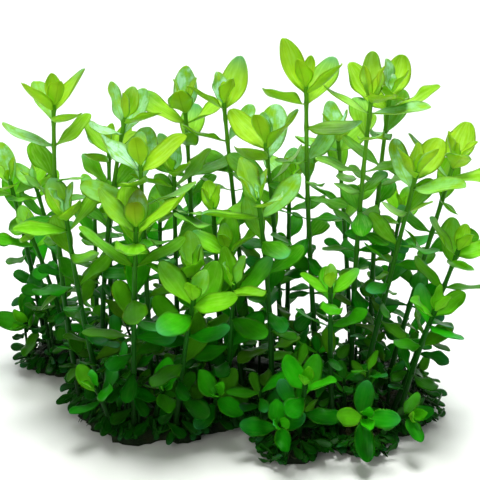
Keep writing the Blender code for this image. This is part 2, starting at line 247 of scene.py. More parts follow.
# %% [markdown]
# ## The plan of the stand
# A stand like this is read shoot by shoot: where each one roots, where its tip is, how it
# bows, which way its youngest leaves face and how long its grown leaves are. The packed
# model was grown from the same plan by the same rules, so the fine leaves made here lie on
# its plain ones. Places are in millimetres, X to the right, Y to the back and Z up.

# %% Shoots and mounds
Shoot = namedtuple("Shoot", "name foot tip bow turn leaf")
SHOOTS = (
    Shoot("shoot_left_tall", (-101, -21), (-106, -25, 198), (-10, 0), 125, 33),
    Shoot("shoot_left_second", (-88, -7), (-67, -11, 188), (-6, 0), 60, 32),
    Shoot("shoot_left_inner", (-54, -39), (-56, -43, 167), (0, 0), 88, 36),
    Shoot("shoot_back_left", (-32, 21), (-34, 18, 189), (4, 0), 175, 35),
    Shoot("shoot_back_centre", (8, 16), (-10, 11, 193), (-4, 0), 130, 36),
    Shoot("shoot_centre_back", (27, -3), (15, -7, 172), (2, 0), 60, 36),
    Shoot("shoot_centre_front", (19, -46), (10, -50, 148), (4, 0), 20, 34),
    Shoot("shoot_right_tall", (50, -14), (38, -18, 207), (-6, 0), 54, 36),
    Shoot("shoot_right_pair_front", (69, -28), (74, -32, 204), (-4, 0), 5, 35),
    Shoot("shoot_right_pair_back", (84, -5), (88, -9, 202), (-6, 0), 156, 34),
    Shoot("shoot_right_back", (75, 28), (61, 25, 170), (0, 0), 5, 31),
    Shoot("shoot_right_leaning", (72, -43), (100, -43, 163), (4, 0), 140, 32),
    Shoot("shoot_far_right_top", (91, -25), (124, -28, 165), (4, 0), 170, 34),
    Shoot("shoot_far_right_low", (92, -48), (125, -50, 119), (6, 0), 90, 30),
    Shoot("shoot_far_right_front", (94, -55), (110, -68, 89), (0, 0), 120, 26),
    Shoot("shoot_left_edge", (-138, 60), (-149, 34, 138), (0, 0), 15, 31),
    Shoot("shoot_left_sprawl", (-128, 54), (-147, 38, 36), (-4, 0), 62, 26),
    Shoot("shoot_left_small_high", (-121, 50), (-134, 38, 136), (4, 0), 55, 24),
    Shoot("shoot_left_front", (-82, -45), (-99, -46, 139), (-6, 0), 30, 32),
    Shoot("shoot_left_small_low", (-114, 34), (-134, 14, 109), (0, 0), 10, 26),
    Shoot("shoot_front_left_main", (-63, -58), (-56, -73, 140), (0, -6), 90, 38),
    Shoot("shoot_centre_small_high", (-11, -18), (-16, -21, 135), (0, 0), 20, 26),
    Shoot("shoot_centre_small_mid", (2, -31), (-8, -39, 116), (0, 0), 80, 29),
    Shoot("shoot_centre_small_low", (-24, -50), (-27, -57, 108), (0, 0), 10, 30),
    Shoot("shoot_front_bright_left", (-38, -59), (-25, -80, 100), (0, -4), 60, 32),
    Shoot("shoot_front_bright_mid", (-8, -40), (-3, -66, 104), (0, -4), 35, 32),
    Shoot("shoot_right_front_mid", (55, -61), (51, -62, 101), (-2, 0), 90, 25),
    Shoot("shoot_front_right_a", (34, -74), (36, -92, 55), (0, -4), 70, 25),
    Shoot("shoot_front_right_b", (67, -66), (70, -93, 34), (0, 0), 95, 24),
    Shoot("shoot_front_right_c", (86, -58), (97, -84, 30), (0, 0), 20, 21),
    Shoot("shoot_front_right_low", (22, -72), (22, -89, 27), (0, 0), 15, 22),
    Shoot("shoot_front_left_low_a", (-76, -58), (-84, -66, 40), (0, 0), 40, 24),
    Shoot("shoot_front_left_low_b", (-50, -54), (-44, -64, 38), (0, 0), 10, 24),
    Shoot("shoot_front_left_low_c", (-16, -49), (-13, -65, 34), (0, 0), 60, 23),
    Shoot("shoot_back_left_small", (-86, 22), (-82, 21, 164), (0, 0), 65, 29),
    Shoot("shoot_mid_left_small", (-40, -2), (-40, -3, 154), (0, 0), 30, 30),
    Shoot("shoot_back_a", (-98, 39), (-95, 38, 125), (0, 0), 45, 27),
    Shoot("shoot_back_b", (-54, 42), (-53, 42, 112), (0, 0), 20, 27),
    Shoot("shoot_back_c", (32, 35), (32, 34, 143), (0, 0), 75, 27),
    Shoot("shoot_back_e", (93, 29), (104, 26, 122), (0, 0), 52, 27),
)

# The root mat: low mounds that run together, cut off flat at their foot.
Mound = namedtuple("Mound", "centre reach height")
MOUNDS = (
    Mound((-50, -28), (52, 38), 21),
    Mound((64, -30), (48, 38), 21),
    Mound((30, -62), (18, 26), 16),
    Mound((70, -62), (18, 16), 14),
    Mound((-16, -26), (28, 20), 16),
    Mound((0, 14), (72, 28), 20),
    Mound((92, -18), (30, 38), 19),
    Mound((70, 15), (52, 32), 19),
    Mound((-84, -6), (25, 31), 19),
    Mound((-66, 30), (50, 26), 18),
    Mound((-124, 50), (27, 22), 16),
)
print("shoots", len(SHOOTS), "mounds", len(MOUNDS))

# %% [markdown]
# ## Rules of growth
# Leaves stand in pairs, each pair a quarter turn from the one below. Young pairs crowd at
# the tip and stand up, grown ones spread, and the oldest hang. A leaf that would touch a
# neighbour turns, lifts or shrinks until it is clear, youngest first. A loft of tested
# blades keeps the stand free of leaves that cut through each other.

# %% Sizes of stems
# A stem tapers from the foot to the tip, and its youngest pair stands a little below.
STEM_RADIUS_FOOT = 1.9 * MM
STEM_RADIUS_TIP = 1.2 * MM
NODE_HEIGHT = 1.7 * MM
EARLY_LEAN = 0.15
NEARBY = 0.01

# Spacing of the leaf pairs down from the tip: a close head, then wide steps.
STEPS = (3.6 * MM, 6.4 * MM, 14.0 * MM, 20.0 * MM, 24.0 * MM)
BARE_FOOT = 36.0 * MM
BARE_SHARE = 0.20
BARE_LEAST = 3.0 * MM
print("steps between pairs", len(STEPS))


# %% The ground, the stems and the places of pairs
def unit(vectors):
    """Vectors scaled to length one."""
    return vectors / np.linalg.norm(vectors, axis=-1, keepdims=True)


def mat_height(x, y):
    """Height of the root mat above points: the highest of the squashed balls there."""
    height = np.zeros(np.broadcast(x, y).shape)
    for mound in MOUNDS:
        across = (np.asarray(x) / MM - mound.centre[0]) / mound.reach[0]
        along = (np.asarray(y) / MM - mound.centre[1]) / mound.reach[1]
        inside = np.clip(1.0 - across**2 - along**2, 0.0, None)
        height = np.maximum(height, mound.height * MM * np.sqrt(inside))
    return height


def stem_line(shoot, share):
    """Points of a stem's middle line, a quadratic curve that starts steep and leans over.

    A point is the sum of the foot, the pulled middle and the tip, each times its weight.
    """
    share = np.asarray(share, dtype=float)[..., None]
    foot = np.array([shoot.foot[0], shoot.foot[1], 0.0]) * MM
    foot[2] = mat_height(foot[0], foot[1])
    tip = np.array(shoot.tip) * MM
    middle = (foot + tip) / 2
    middle[:2] += np.array(shoot.bow) * MM - EARLY_LEAN * (tip - foot)[:2]
    return foot * (1 - share) ** 2 + middle * 2 * share * (1 - share) + tip * share**2


def stem_axes(shoot, share):
    """The stem's direction and the two directions in which its leaf pairs stand."""
    share = np.asarray(share, dtype=float)
    along = unit(stem_line(shoot, share + NEARBY) - stem_line(shoot, share - NEARBY))
    turn = math.radians(shoot.turn)
    level = np.array([math.cos(turn), math.sin(turn), 0.0])
    first = unit(level - along * (along @ level)[..., None])
    return along, first, np.cross(along, first)


def stem_radius(share):
    """Half the stem's width across its edges: it narrows evenly to the tip."""
    return STEM_RADIUS_FOOT + (STEM_RADIUS_TIP - STEM_RADIUS_FOOT) * np.asarray(share)


def stem_length(shoot):
    """The straight distance from a shoot's foot to its tip."""
    return float(np.linalg.norm(np.array(shoot.tip) * MM - stem_line(shoot, 0.0)))


def pair_places(shoot):
    """Shares of the stem's length at which leaf pairs stand, from the tip down."""
    length = stem_length(shoot)
    bare = min(BARE_FOOT, BARE_SHARE * length + BARE_LEAST)
    places = []
    down = NODE_HEIGHT
    while length - down > bare:
        places.append(1.0 - down / length)
        down += STEPS[min(len(places), len(STEPS)) - 1]
    return places


longest = max(SHOOTS, key=stem_length)
print("longest stem", round(stem_length(longest) / MM), "mm, pairs", len(pair_places(longest)))

# %% [markdown]
# ## A leaf and the room around it
# A leaf could be a flat outline, turned into place. But real leaves arch, and a neighbour
# half a millimetre away must not be cut. So each leaf is an arc with its own rise, bend,
# twist and roll, and a plain closed blade around that arc, a little too large, is tested
# against every stem and leaf that already stands.

# %% Sizes and ages of leaves
# A leaf by its age, counted in pairs from the tip: length and width as shares of a
# full-grown leaf, the angle of its base above the level, and how far it bends down, or
# up where that is below zero.
LeafAge = namedtuple("LeafAge", "length width rise bend")
LEAF_AGES = (
    LeafAge(0.54, 0.76, 64, -12),
    LeafAge(0.88, 1.12, 33, -22),
    LeafAge(1.00, 1.14, 20, -24),
    LeafAge(0.92, 1.00, 16, -22),
    LeafAge(0.80, 0.92, 14, -16),
    LeafAge(0.68, 0.82, 10, 6),
    LeafAge(0.58, 0.73, 6, 18),
    LeafAge(0.52, 0.67, 0, 24),
    LeafAge(0.48, 0.63, -6, 26),
)
LEAF_WIDTH_SHARE = 0.42

# Leaves turn their faces to the light, which comes from above and a little in front, and
# those that point at it bend more. No bend is so small that its arc would have no centre.
LIGHT_FROM = np.array([0.0, -1.0, 0.0])
LIGHT_LEAN = 15
LIGHT_BEND = 8
LEAST_BEND = 1.0

# Small differences between leaves, as shares and degrees, are drawn by dice with a seed.
SEED = 11
LENGTH_VARIES = 0.10
RISE_VARIES = 7
TURN_VARIES = 9
ROLL_VARIES = 20
TWIST_VARIES = 24
BEND_VARIES = 0.5
print("ages of leaves", len(LEAF_AGES))

# %% A leaf and its arc
# A plain blade: how far out its shoulders and cheeks stand, how wide, and the keel below.
KEEL_DEPTH = 1.1 * MM
SHOULDER_AT = 0.34
SHOULDER_WIDTH = 0.96
CHEEK_AT = 0.74
CHEEK_WIDTH = 0.72
CHEEK_KEEL = 0.8
PLAIN_LEAF_AT = 0.58
FULL_OUTLINE_PAIRS = (1, 2)
ROOT_AT = 0.01
ROOT_HALF_WIDTH = 1.2 * MM

# Triangles of the test blade: its outline's corners come first, then the two at its root.
PLAIN_BLADE = ((4, 5, 1), (4, 1, 0), (5, 2, 1), (4, 0, 2), (4, 2, 5), (0, 1, 3), (1, 2, 3), (2, 0, 3))
FULL_BLADE = ((7, 8, 1), (7, 1, 0), (8, 2, 1), (7, 0, 2), (7, 2, 8), (0, 1, 4), (0, 4, 3), (3, 4, 6),
              (1, 2, 5), (1, 5, 4), (2, 0, 3), (2, 3, 5), (4, 5, 6), (5, 3, 6))

# A leaf keeps this much clear of its neighbours.
CLEARANCE = 0.45 * MM


class Leaf:
    """One leaf: where it grows from and the shape it has when it hangs free."""

    def __init__(self, shoot, pair, side, share, dice):
        self.shoot = shoot
        self.pair = pair
        self.side = side
        self.share = share
        age = LEAF_AGES[min(pair, len(LEAF_AGES) - 1)]
        size = shoot.leaf * MM * (1 + dice.uniform(-LENGTH_VARIES, LENGTH_VARIES))
        self.length = size * age.length
        self.width = size * age.width * LEAF_WIDTH_SHARE
        along, first, second = stem_axes(shoot, share)
        straight = (first if pair % 2 == 0 else second) * (1 - 2 * side)
        lean = LIGHT_LEAN * math.cos(math.radians(age.rise))
        self.rise = age.rise + dice.uniform(-RISE_VARIES, RISE_VARIES) - lean * (straight @ LIGHT_FROM)
        bend = age.bend * (1 + dice.uniform(-BEND_VARIES, BEND_VARIES))
        bend += LIGHT_BEND * (straight @ LIGHT_FROM)
        self.bend = bend if abs(bend) > LEAST_BEND else LEAST_BEND
        self.twist = dice.uniform(-TWIST_VARIES, TWIST_VARIES)
        self.turn = dice.uniform(-TURN_VARIES, TURN_VARIES)
        self.roll = dice.uniform(-ROLL_VARIES, ROLL_VARIES)
        self.roll -= lean * (np.cross(along, straight) @ LIGHT_FROM)
        self.full = pair in FULL_OUTLINE_PAIRS

    def points(self, at, across, lift, grow=1.0):
        """Points of the blade: at shares of its length, across and above its middle line.

        The middle line is an arc. Its angle falls evenly from rise to rise less bend, so
        its reach outward and upward are differences of sines and of cosines over bend.
        """
        at = np.asarray(at, dtype=float)[..., None]
        across = np.asarray(across, dtype=float)[..., None]
        lift = np.asarray(lift, dtype=float)[..., None]
        along, first, second = stem_axes(self.shoot, self.share)
        facing = first if self.pair % 2 == 0 else second
        straight = facing if self.side == 0 else -facing
        sideways = np.cross(along, straight)
        turn, rise, bend = np.radians([self.turn, self.rise, self.bend])
        roll = np.radians(self.roll + self.twist * (at - 0.5))
        out = straight * math.cos(turn) + sideways * math.sin(turn)
        side = np.cross(along, out)
        angle = rise - bend * at
        length = self.length * grow
        forward = length * (math.sin(rise) - np.sin(angle)) / bend
        upward = length * (np.cos(angle) - math.cos(rise)) / bend
        above = along * np.cos(angle) - out * np.sin(angle)
        base = stem_line(self.shoot, self.share)
        base = base + straight * stem_radius(self.share) * math.sqrt(0.5)
        return (base + out * forward + along * upward
                + (side * np.cos(roll) + above * np.sin(roll)) * across
                + (above * np.cos(roll) - side * np.sin(roll)) * lift)

    def outline(self, spare=0.0):
        """Corners of the plain blade: shoulders and keel, then cheeks and keel, then the tip."""
        half = self.width * 0.5
        grow = 1.0 + spare / self.length
        if not self.full:
            across = half + spare
            return self.points([PLAIN_LEAF_AT] * 3 + [1.0], [across, -across, 0, 0],
                               [spare, spare, -KEEL_DEPTH - spare, 0], grow)
        wide = half * SHOULDER_WIDTH + spare
        cheek = half * CHEEK_WIDTH + spare
        deep = -CHEEK_KEEL * KEEL_DEPTH - spare
        return self.points([SHOULDER_AT] * 3 + [CHEEK_AT] * 3 + [1.0],
                           [wide, -wide, 0, cheek, -cheek, 0, 0],
                           [spare, spare, -KEEL_DEPTH - spare, spare, spare, deep, 0], grow)

    def test_surface(self):
        """The plain blade a little too large, for finding what it would touch."""
        root = self.points([ROOT_AT] * 2, [ROOT_HALF_WIDTH, -ROOT_HALF_WIDTH], [0, 0])
        triangles = FULL_BLADE if self.full else PLAIN_BLADE
        return np.concatenate([self.outline(CLEARANCE), root]), triangles


sample = Leaf(longest, 2, 0, 0.8, random.Random(SEED))
print("a grown leaf", round(sample.length / MM), "by", round(sample.width / MM), "mm")


# %% What a leaf keeps clear of
# For tests of room a stem is square, in short stretches.
STEM_SIDES = 4
STEM_STRETCHES = 12


class Crowd:
    """Closed shapes that stand in the way of new leaves, each with the name of its owner."""

    def __init__(self):
        self.trees = []
        self.owners = []
        self.lows = np.empty((0, 3))
        self.highs = np.empty((0, 3))

    def add(self, owner, points, triangles):
        """Put a shape in the crowd."""
        self.trees.append(BVHTree.FromPolygons(points.tolist(), triangles))
        self.owners.append(owner)
        self.lows = np.vstack([self.lows, points.min(axis=0)])
        self.highs = np.vstack([self.highs, points.max(axis=0)])

    def touches(self, points, triangles, ignored=None):
        """Say whether a shape would touch any in the crowd, apart from one owner's."""
        near = np.all((self.lows <= points.max(axis=0)) & (points.min(axis=0) <= self.highs),
                      axis=1)
        tree = BVHTree.FromPolygons(points.tolist(), triangles)
        return any(self.owners[index] != ignored and tree.overlap(self.trees[index])
                   for index in np.flatnonzero(near))


def stem_ring(shoot, share, spare=0.0):
    """The four corners of the plain stem, between the faces that carry the leaves."""
    along, first, second = stem_axes(shoot, share)
    half = (stem_radius(share) + spare) * math.sqrt(0.5)
    corners = np.array(((1, -1), (1, 1), (-1, 1), (-1, -1))) * half
    return stem_line(shoot, share) + corners @ np.array([first, second])


def crowd_of_stems():
    """Every stem in short stretches, each a little too thick."""
    crowd = Crowd()
    triangles = []
    for corner in range(STEM_SIDES):
        after = (corner + 1) % STEM_SIDES
        triangles.append((corner, after, after + STEM_SIDES))
        triangles.append((corner, after + STEM_SIDES, corner + STEM_SIDES))
    for shoot in SHOOTS:
        rings = [stem_ring(shoot, share, CLEARANCE)
                 for share in np.linspace(0.0, 1.0, STEM_STRETCHES + 1)]
        for lower, upper in zip(rings, rings[1:]):
            crowd.add(shoot.name, np.concatenate([lower, upper]), triangles)
    return crowd


standing_stems = crowd_of_stems()
print("stretches of stem", len(standing_stems.trees))


# %% Room for every leaf
LOWEST_LEAF = 0.8 * MM

# The ways a leaf turns aside, in degrees, and shrinks to clear its neighbours.
TURNS_ASIDE = (0, 13, -13, 26, -26, 38, -38)
RISES_ASIDE = (0, 11, -11, 22, -22)
SHORTER = (1.0, 0.88, 0.74, 0.58)


def settle(leaf, stems, leaves, shorter=SHORTER):
    """Turn, lift or shorten a leaf until it touches nothing; say whether it found room."""
    turn, rise, length, width = leaf.turn, leaf.rise, leaf.length, leaf.width
    for share in shorter:
        for turn_aside in TURNS_ASIDE:
            for rise_aside in RISES_ASIDE:
                leaf.turn = turn + turn_aside
                leaf.rise = rise + rise_aside
                leaf.length = length * share
                leaf.width = width * math.sqrt(share)
                points, triangles = leaf.test_surface()
                if np.min(points[:, 2] - mat_height(points[:, 0], points[:, 1])) < LOWEST_LEAF:
                    continue
                if stems.touches(points, triangles, ignored=leaf.shoot.name):
                    continue
                if not leaves.touches(points, triangles):
                    leaves.add(leaf.shoot.name, points, triangles)
                    return True
    return False


def grow_leaves(stems):
    """Lay out every leaf of the stand, the youngest first, and keep those that find room."""
    dice = random.Random(SEED)
    wanted = []
    for shoot in SHOOTS:
        for pair, share in enumerate(pair_places(shoot)):
            for side in (0, 1):
                wanted.append(Leaf(shoot, pair, side, share, dice))
    wanted.sort(key=lambda leaf: leaf.pair)
    leaves = Crowd()
    grown = {shoot.name: [] for shoot in SHOOTS}
    for leaf in wanted:
        if settle(leaf, stems, leaves):
            grown[leaf.shoot.name].append(leaf)
    return grown


grown = grow_leaves(standing_stems)
print("shoots", len(SHOOTS), "leaves", sum(len(leaves) for leaves in grown.values()))

# %% [markdown]
# ## Leaf blade
# A real blade of this plant is fleshy and smooth and blunt at the tip. A young one is egg
# shaped and clasps the stem with a broad foot; an old one is narrow at its foot and broad
# farther out. It is half a millimetre thick at the midrib and thinner at the edge. It could
# be a flat sheet with a picture, but then it has no edge for light to catch. Here each
# blade is a closed loft: a thin lens-shaped ring of points is carried along the leaf's arc,
# and the last ring closes on the tip.

# %% The ring that is carried along a leaf
BLADE_MIDDLE_THICKNESS = 0.50 * MM
BLADE_EDGE_THICKNESS = 0.16 * MM
BLADE_BASE_HALF_WIDTH = 1.15 * MM
RINGS_CROWD_TIP = 1.4

# An outline's form runs from 0, young, to 1, old: its gain with each pair, its chance part,
# and the powers of its rise from the foot and its fall to the tip, young and old.
FORM_PER_PAIR = 0.24
FORM_VARIES = 0.26
FOOT_POWERS = (4.6, 1.8)
TIP_POWERS = (2.1, 3.6)

# How finely a blade is divided: rings along it and points across its upper face.
Grid = namedtuple("Grid", "stations lanes")
FINE_GRID = Grid(18, 9)
PLAIN_GRID = Grid(13, 7)
SMALL_GRID = Grid(10, 5)


def half_width_share(at, form):
    """Half width as a share of the widest: a rise from the foot times a fall to the tip.

    The rise is one less a power of what is left of the length. The fall is the square root
    of one less a power of the length gone. Form 0 is a young egg shape, form 1 an old spoon.
    """
    foot_power, tip_power = [young + (old - young) * form for young, old in (FOOT_POWERS, TIP_POWERS)]

    def shape(at):
        rise = 1.0 - (1.0 - at) ** foot_power
        return rise * np.sqrt(np.clip(1.0 - at**tip_power, 0.0, None))

    return shape(at) / shape(np.linspace(0.0, 1.0, 60)).max()


def blade_ring(lanes):
    """Places around the ring from -1 to 1 and back, and which of them lie underneath."""
    top = np.linspace(-1.0, 1.0, lanes)
    across = np.concatenate([top, top[-2:0:-1]])
    under = np.concatenate([np.zeros(lanes), np.ones(lanes - 2)])
    under[[0, lanes - 1]] = 0.5
    return across, under


print("points around a fine blade", len(blade_ring(FINE_GRID.lanes)[0]))


# %% One blade as arrays
# Cup and sway are shares of the half width and of the length, waves of the whole width.
CUP = 0.10
CUP_OF_YOUTH = 0.30
CUP_VARIES = 0.14
FLAT_AT_PAIR = 4.0
LEAST_WAVE = 0.30 * MM
WAVE_SHARE = 0.12
WAVES_ALONG = (0.9, 2.0)
OTHER_EDGE = -0.8
GROOVE_DEPTH = 0.16 * MM
GROOVE_SHARE = 0.10
SWAY = 0.045


def blade_surface(leaf, grid, dice):
    """A blade's points, its texture places and which points lie underneath.

    Lift is the sum of a cup that rises with the square of the distance from the midrib, a
    slow wave along each edge, a sway of the whole blade up and down, a groove on the midrib
    and half the thickness up or down.
    """
    ring_across, ring_under = blade_ring(grid.lanes)
    left = np.linspace(1.0, 0.0, grid.stations, endpoint=False)
    at = (1.0 - left**RINGS_CROWD_TIP)[:, None] * np.ones(len(ring_across))
    across = np.broadcast_to(ring_across, at.shape)
    face = np.sign(0.5 - ring_under)
    form = min(max(FORM_PER_PAIR * leaf.pair + dice.uniform(-FORM_VARIES, FORM_VARIES), 0.0), 1.0)
    half = np.maximum(0.5 * leaf.width * half_width_share(at, form),
                      BLADE_BASE_HALF_WIDTH * (1.0 - at) ** 2)
    youth = max(0.0, 1.0 - leaf.pair / FLAT_AT_PAIR)
    cup = CUP + CUP_OF_YOUTH * youth + CUP_VARIES * dice.uniform(-1, 1)
    cup = cup * half * across**2
    wave_size = LEAST_WAVE + WAVE_SHARE * leaf.width * dice.random()
    wave = wave_size * np.sin(math.tau * (dice.uniform(*WAVES_ALONG) * at + dice.random()))
    wave = wave * across**2 * np.sin(math.pi * at) * np.where(across > 0, 1.0, OTHER_EDGE)
    groove = -GROOVE_DEPTH * np.exp(-((across / GROOVE_SHARE) ** 2)) * (1.0 - at)
    thickness = BLADE_MIDDLE_THICKNESS * (1 - across**2) + BLADE_EDGE_THICKNESS * across**2
    sway = SWAY * leaf.length * dice.uniform(-1, 1) * np.sin(math.tau * at) * at
    lift = cup + wave + sway + groove + face * 0.5 * thickness
    points = leaf.points(at, across * half, lift)
    tip = leaf.points([1.0], [0.0], [0.0])
    points = np.concatenate([points.reshape(-1, 3), tip])
    uv = np.stack([at.ravel(), 0.5 + 0.5 * across.ravel()], axis=1)
    uv = np.concatenate([uv, [[1.0, 0.5]]])
    under = np.concatenate([np.tile(ring_under, grid.stations), [0.5]])
    return points, uv, under


def blade_faces(grid, first_point):
    """Quads between rings, a fan at the tip and one face that closes the root."""
    ring_size = 2 * grid.lanes - 2
    ring = np.arange(ring_size)
    after = np.roll(ring, -1)
    rows = np.arange(grid.stations - 1)[:, None] * ring_size + first_point
    quads = np.stack([rows + ring, rows + ring + ring_size, rows + after + ring_size,
                      rows + after], axis=-1).reshape(-1, 4)
    last = (grid.stations - 1) * ring_size + first_point
    fan = np.stack([last + ring, np.full(ring_size, last + ring_size), last + after], axis=-1)
    root = (first_point + ring).tolist()
    return quads.tolist() + fan.tolist() + [root]


print("faces of a fine blade", len(blade_faces(FINE_GRID, 0)))

# %% [markdown]
# ## Leaf colour
# Light falls on the stand from above, so the heads are pale lime and the leaves under them
# are dark: partly their own deeper green, partly painted shade. Each point carries four facts
# for the material: the leaf's age, whether it is on the underside, its tint, which is a number
# of its own, and how deep in the shade it lies, which darkens its colour as painted shade.
# Shade is worked out from height alone, and a young leaf feels six tenths of it.

# %% Facts of a leaf
# Painted shade: colours darken from the heads at this height down to the foot at the next.
SHADE_TOP = 170 * MM
SHADE_FLOOR = 15 * MM
GROWN_AT_PAIR = 6.0
SHELTERED_AT_PAIR = 3.0
YOUNG_SHELTER = 0.62


def shade_at(height):
    """How deep in the shade a height lies, from 0 at the heads to 1 at the foot."""
    return np.clip((SHADE_TOP - height) / (SHADE_TOP - SHADE_FLOOR), 0.0, 1.0)


def leaf_facts(leaf, points, under, tint):
    """Age, underside, tint and shade for each point of a leaf."""
    age = min(leaf.pair / GROWN_AT_PAIR, 1.0)
    shelter = YOUNG_SHELTER + (1 - YOUNG_SHELTER) * min(leaf.pair / SHELTERED_AT_PAIR, 1.0)
    count = np.ones(len(points))
    return np.stack([age * count, under, tint * count, shelter * shade_at(points[:, 2])], axis=1)


print("shade half way up", round(float(shade_at(SHADE_TOP / 2)), 2))

# %% [markdown]
# ## Leaf material
# The leaf is living tissue that grew under water: a wet skin over green pulp. Light enters
# it and glows through, which subsurface scattering gives. The skin is smooth, so it has a
# soft gloss. Its green could be one colour, but a real leaf is never even. Here two ramps
# run from light to painted shade, one for young leaves and one for old, which are a deeper
# green of their own, and a slow noise mottles them.

# %% Greens of a leaf
# Along each ramp the green darkens from light, at 0, to deep shade, at 1: painted shade.
YOUNG_GREENS = ((0.0, "#A8D226"), (0.12, "#94CC1C"), (0.30, "#68BE10"),
                (0.50, "#24A006"), (0.75, "#056E02"), (1.0, "#024801"))
OLD_GREENS = ((0.0, "#44AC0A"), (0.26, "#189002"), (0.58, "#036201"), (1.0, "#013401"))
MOST_YELLOWING = 0.3
YELLOW_GREEN = "#B4D228"
ADDED_LIGHT = "#2C4A10"
DARKENED_BY = "#A8C078"
MOTTLE_MM = 5.0
MOTTLE = 0.30

# A line is a pair: its slope, then its value at zero. A fact times the one plus the other
# is what a MULTIPLY_ADD works out.
MOSTLY_LIT_LINE = (-0.85, 1.0)

leaf_tissue, tree, shader = new_material(
    "fleshy_bacopa_leaf_tissue", Roughness=0.36, IOR=1.36, Specular_IOR_Level=0.09,
    Subsurface_Weight=0.25, Subsurface_Scale=1.0 * MM, Subsurface_Radius=(0.4, 1.0, 0.1))
facts, shade = add_node(tree, "Attribute", attribute_name="leaf_facts", out=("Color", "Alpha"))
age, under, tint = add_node(tree, "SeparateColor", facts, out=("Red", "Green", "Blue"))
object_place, leaf_place = add_node(tree, "TexCoord", out=("Object", "UV"))
youth = add_node(tree, "Math", "SUBTRACT", 1.0, age)
lit = add_node(tree, "Math", "SUBTRACT", 1.0, shade)
mostly_lit = add_node(tree, "Math", "MULTIPLY_ADD", shade, *MOSTLY_LIT_LINE)

young = add_node(tree, "ValToRGB", shade, stops=YOUNG_GREENS)
old = add_node(tree, "ValToRGB", shade, stops=OLD_GREENS)
green = add_node(tree, "Mix", "MIX", age, young, old)
yellowing = add_node(tree, "Math", "MULTIPLY_ADD", tint, 2 * MOST_YELLOWING, -MOST_YELLOWING)
yellowing = add_node(tree, "Math", "MULTIPLY", yellowing, lit)
yellowing = add_node(tree, "Math", "MAXIMUM", yellowing, 0.0)
green = add_node(tree, "Mix", "MIX", yellowing, green, linear(YELLOW_GREEN))
mottle = add_node(tree, "TexNoise", object_place, Scale=1 / (MOTTLE_MM * MM), Detail=4.0)
green = add_node(tree, "Mix", "OVERLAY", MOTTLE, green, mottle)
lighter = add_node(tree, "Mix", "ADD", mostly_lit, green, linear(ADDED_LIGHT))
darker = add_node(tree, "Mix", "MULTIPLY", 1.0, green, linear(DARKENED_BY))
print("greens of a young leaf", len(YOUNG_GREENS), "and of an old one", len(OLD_GREENS))

# %% [markdown]
# ## Veins and fibres
# A midrib and a few side veins run from the base to the tip and follow the outline, so
# the pattern is drawn on the leaf's own UV map: along the leaf, and across it. From the
# midrib out, side veins come at even steps. Between them lie pale fibres. Real ones are
# finer than the picture can show, so they are drawn about a millimetre and a half apart.
# The middle of a leaf is painted lighter than its edge, a painted sheen that is stronger
# deep in the shade. Underneath only the midrib shows, and the foot carries a painted glow.

# %% Veins, fibres and both faces of a leaf
# A grown blade and the steps of its patterns across and along it, in millimetres.
GROWN_LENGTH = 33.8
GROWN_WIDTH = 16.5
VEIN_STEP = 2.5
FIBRE_STEP = 1.5
FIBRE_LENGTH = 13

MIDRIB_LINE = (-11.0, 1.0)
SIDE_VEIN_LINE = (-2.75, 0.385)
VEINS_FADE_AT = 1.15
VEIN = 0.60
MIDRIB_BELOW = 0.45

# Fibres are noise drawn out along the leaf, so few waves run along it and many across.
LEAF_TO_LEAF = 40.0
STREAK_LINE = (3.4, -1.55)
NEAR_LIGHT_LINE = (-1.9, 1.0)
LEAST_STREAK = 0.06
FIBRE = 0.50
FIBRE_GREEN = "#BCEC6C"

OLIVE_TIP = 0.6
OLIVE_POWER = 3.0
PAINTED_MIDDLE_LINE = (-0.45, 0.45)
PAINTED_MIDDLE_GLOW = 2.0
FOOT_GLOW = 0.40
FOOT_POWER = 1.6
FOOT_GREEN = "#B4DC50"
EDGE_LINE = (5.0, -4.0)
EDGE_DARKNESS = 0.7

along, across = add_node(tree, "SeparateXYZ", leaf_place, out=("X", "Y"))
to_foot = add_node(tree, "Math", "SUBTRACT", 1.0, along)
from_middle = add_node(tree, "Math", "MULTIPLY_ADD", across, 2.0, -1.0)
from_middle = add_node(tree, "Math", "ABSOLUTE", from_middle)
midrib = add_node(tree, "Math", "MULTIPLY_ADD", from_middle, *MIDRIB_LINE)
midrib = add_node(tree, "Math", "MAXIMUM", midrib, 0.0)
lane = add_node(tree, "Math", "MULTIPLY", from_middle, GROWN_WIDTH / 2 / VEIN_STEP)
lane = add_node(tree, "Math", "PINGPONG", lane, 0.5)
side_vein = add_node(tree, "Math", "MULTIPLY_ADD", lane, *SIDE_VEIN_LINE)
vein = add_node(tree, "Math", "MAXIMUM", midrib, side_vein)
fade = add_node(tree, "Math", "SUBTRACT", VEINS_FADE_AT, along)
vein = add_node(tree, "Math", "MULTIPLY", vein, fade)

fibre_place = add_node(tree, "CombineXYZ", *[
    add_node(tree, "Math", "MULTIPLY", fact, count) for fact, count in (
        (along, GROWN_LENGTH / FIBRE_LENGTH), (across, GROWN_WIDTH / FIBRE_STEP),
        (tint, LEAF_TO_LEAF))])
fibres = add_node(tree, "TexNoise", fibre_place, Scale=1.0, Detail=3.0)
streak = add_node(tree, "Math", "MULTIPLY_ADD", fibres, *STREAK_LINE, use_clamp=True)
near_light = add_node(tree, "Math", "MULTIPLY_ADD", shade, *NEAR_LIGHT_LINE)
near_light = add_node(tree, "Math", "MAXIMUM", near_light, LEAST_STREAK)
for share in (near_light, FIBRE):
    streak = add_node(tree, "Math", "MULTIPLY", streak, share)

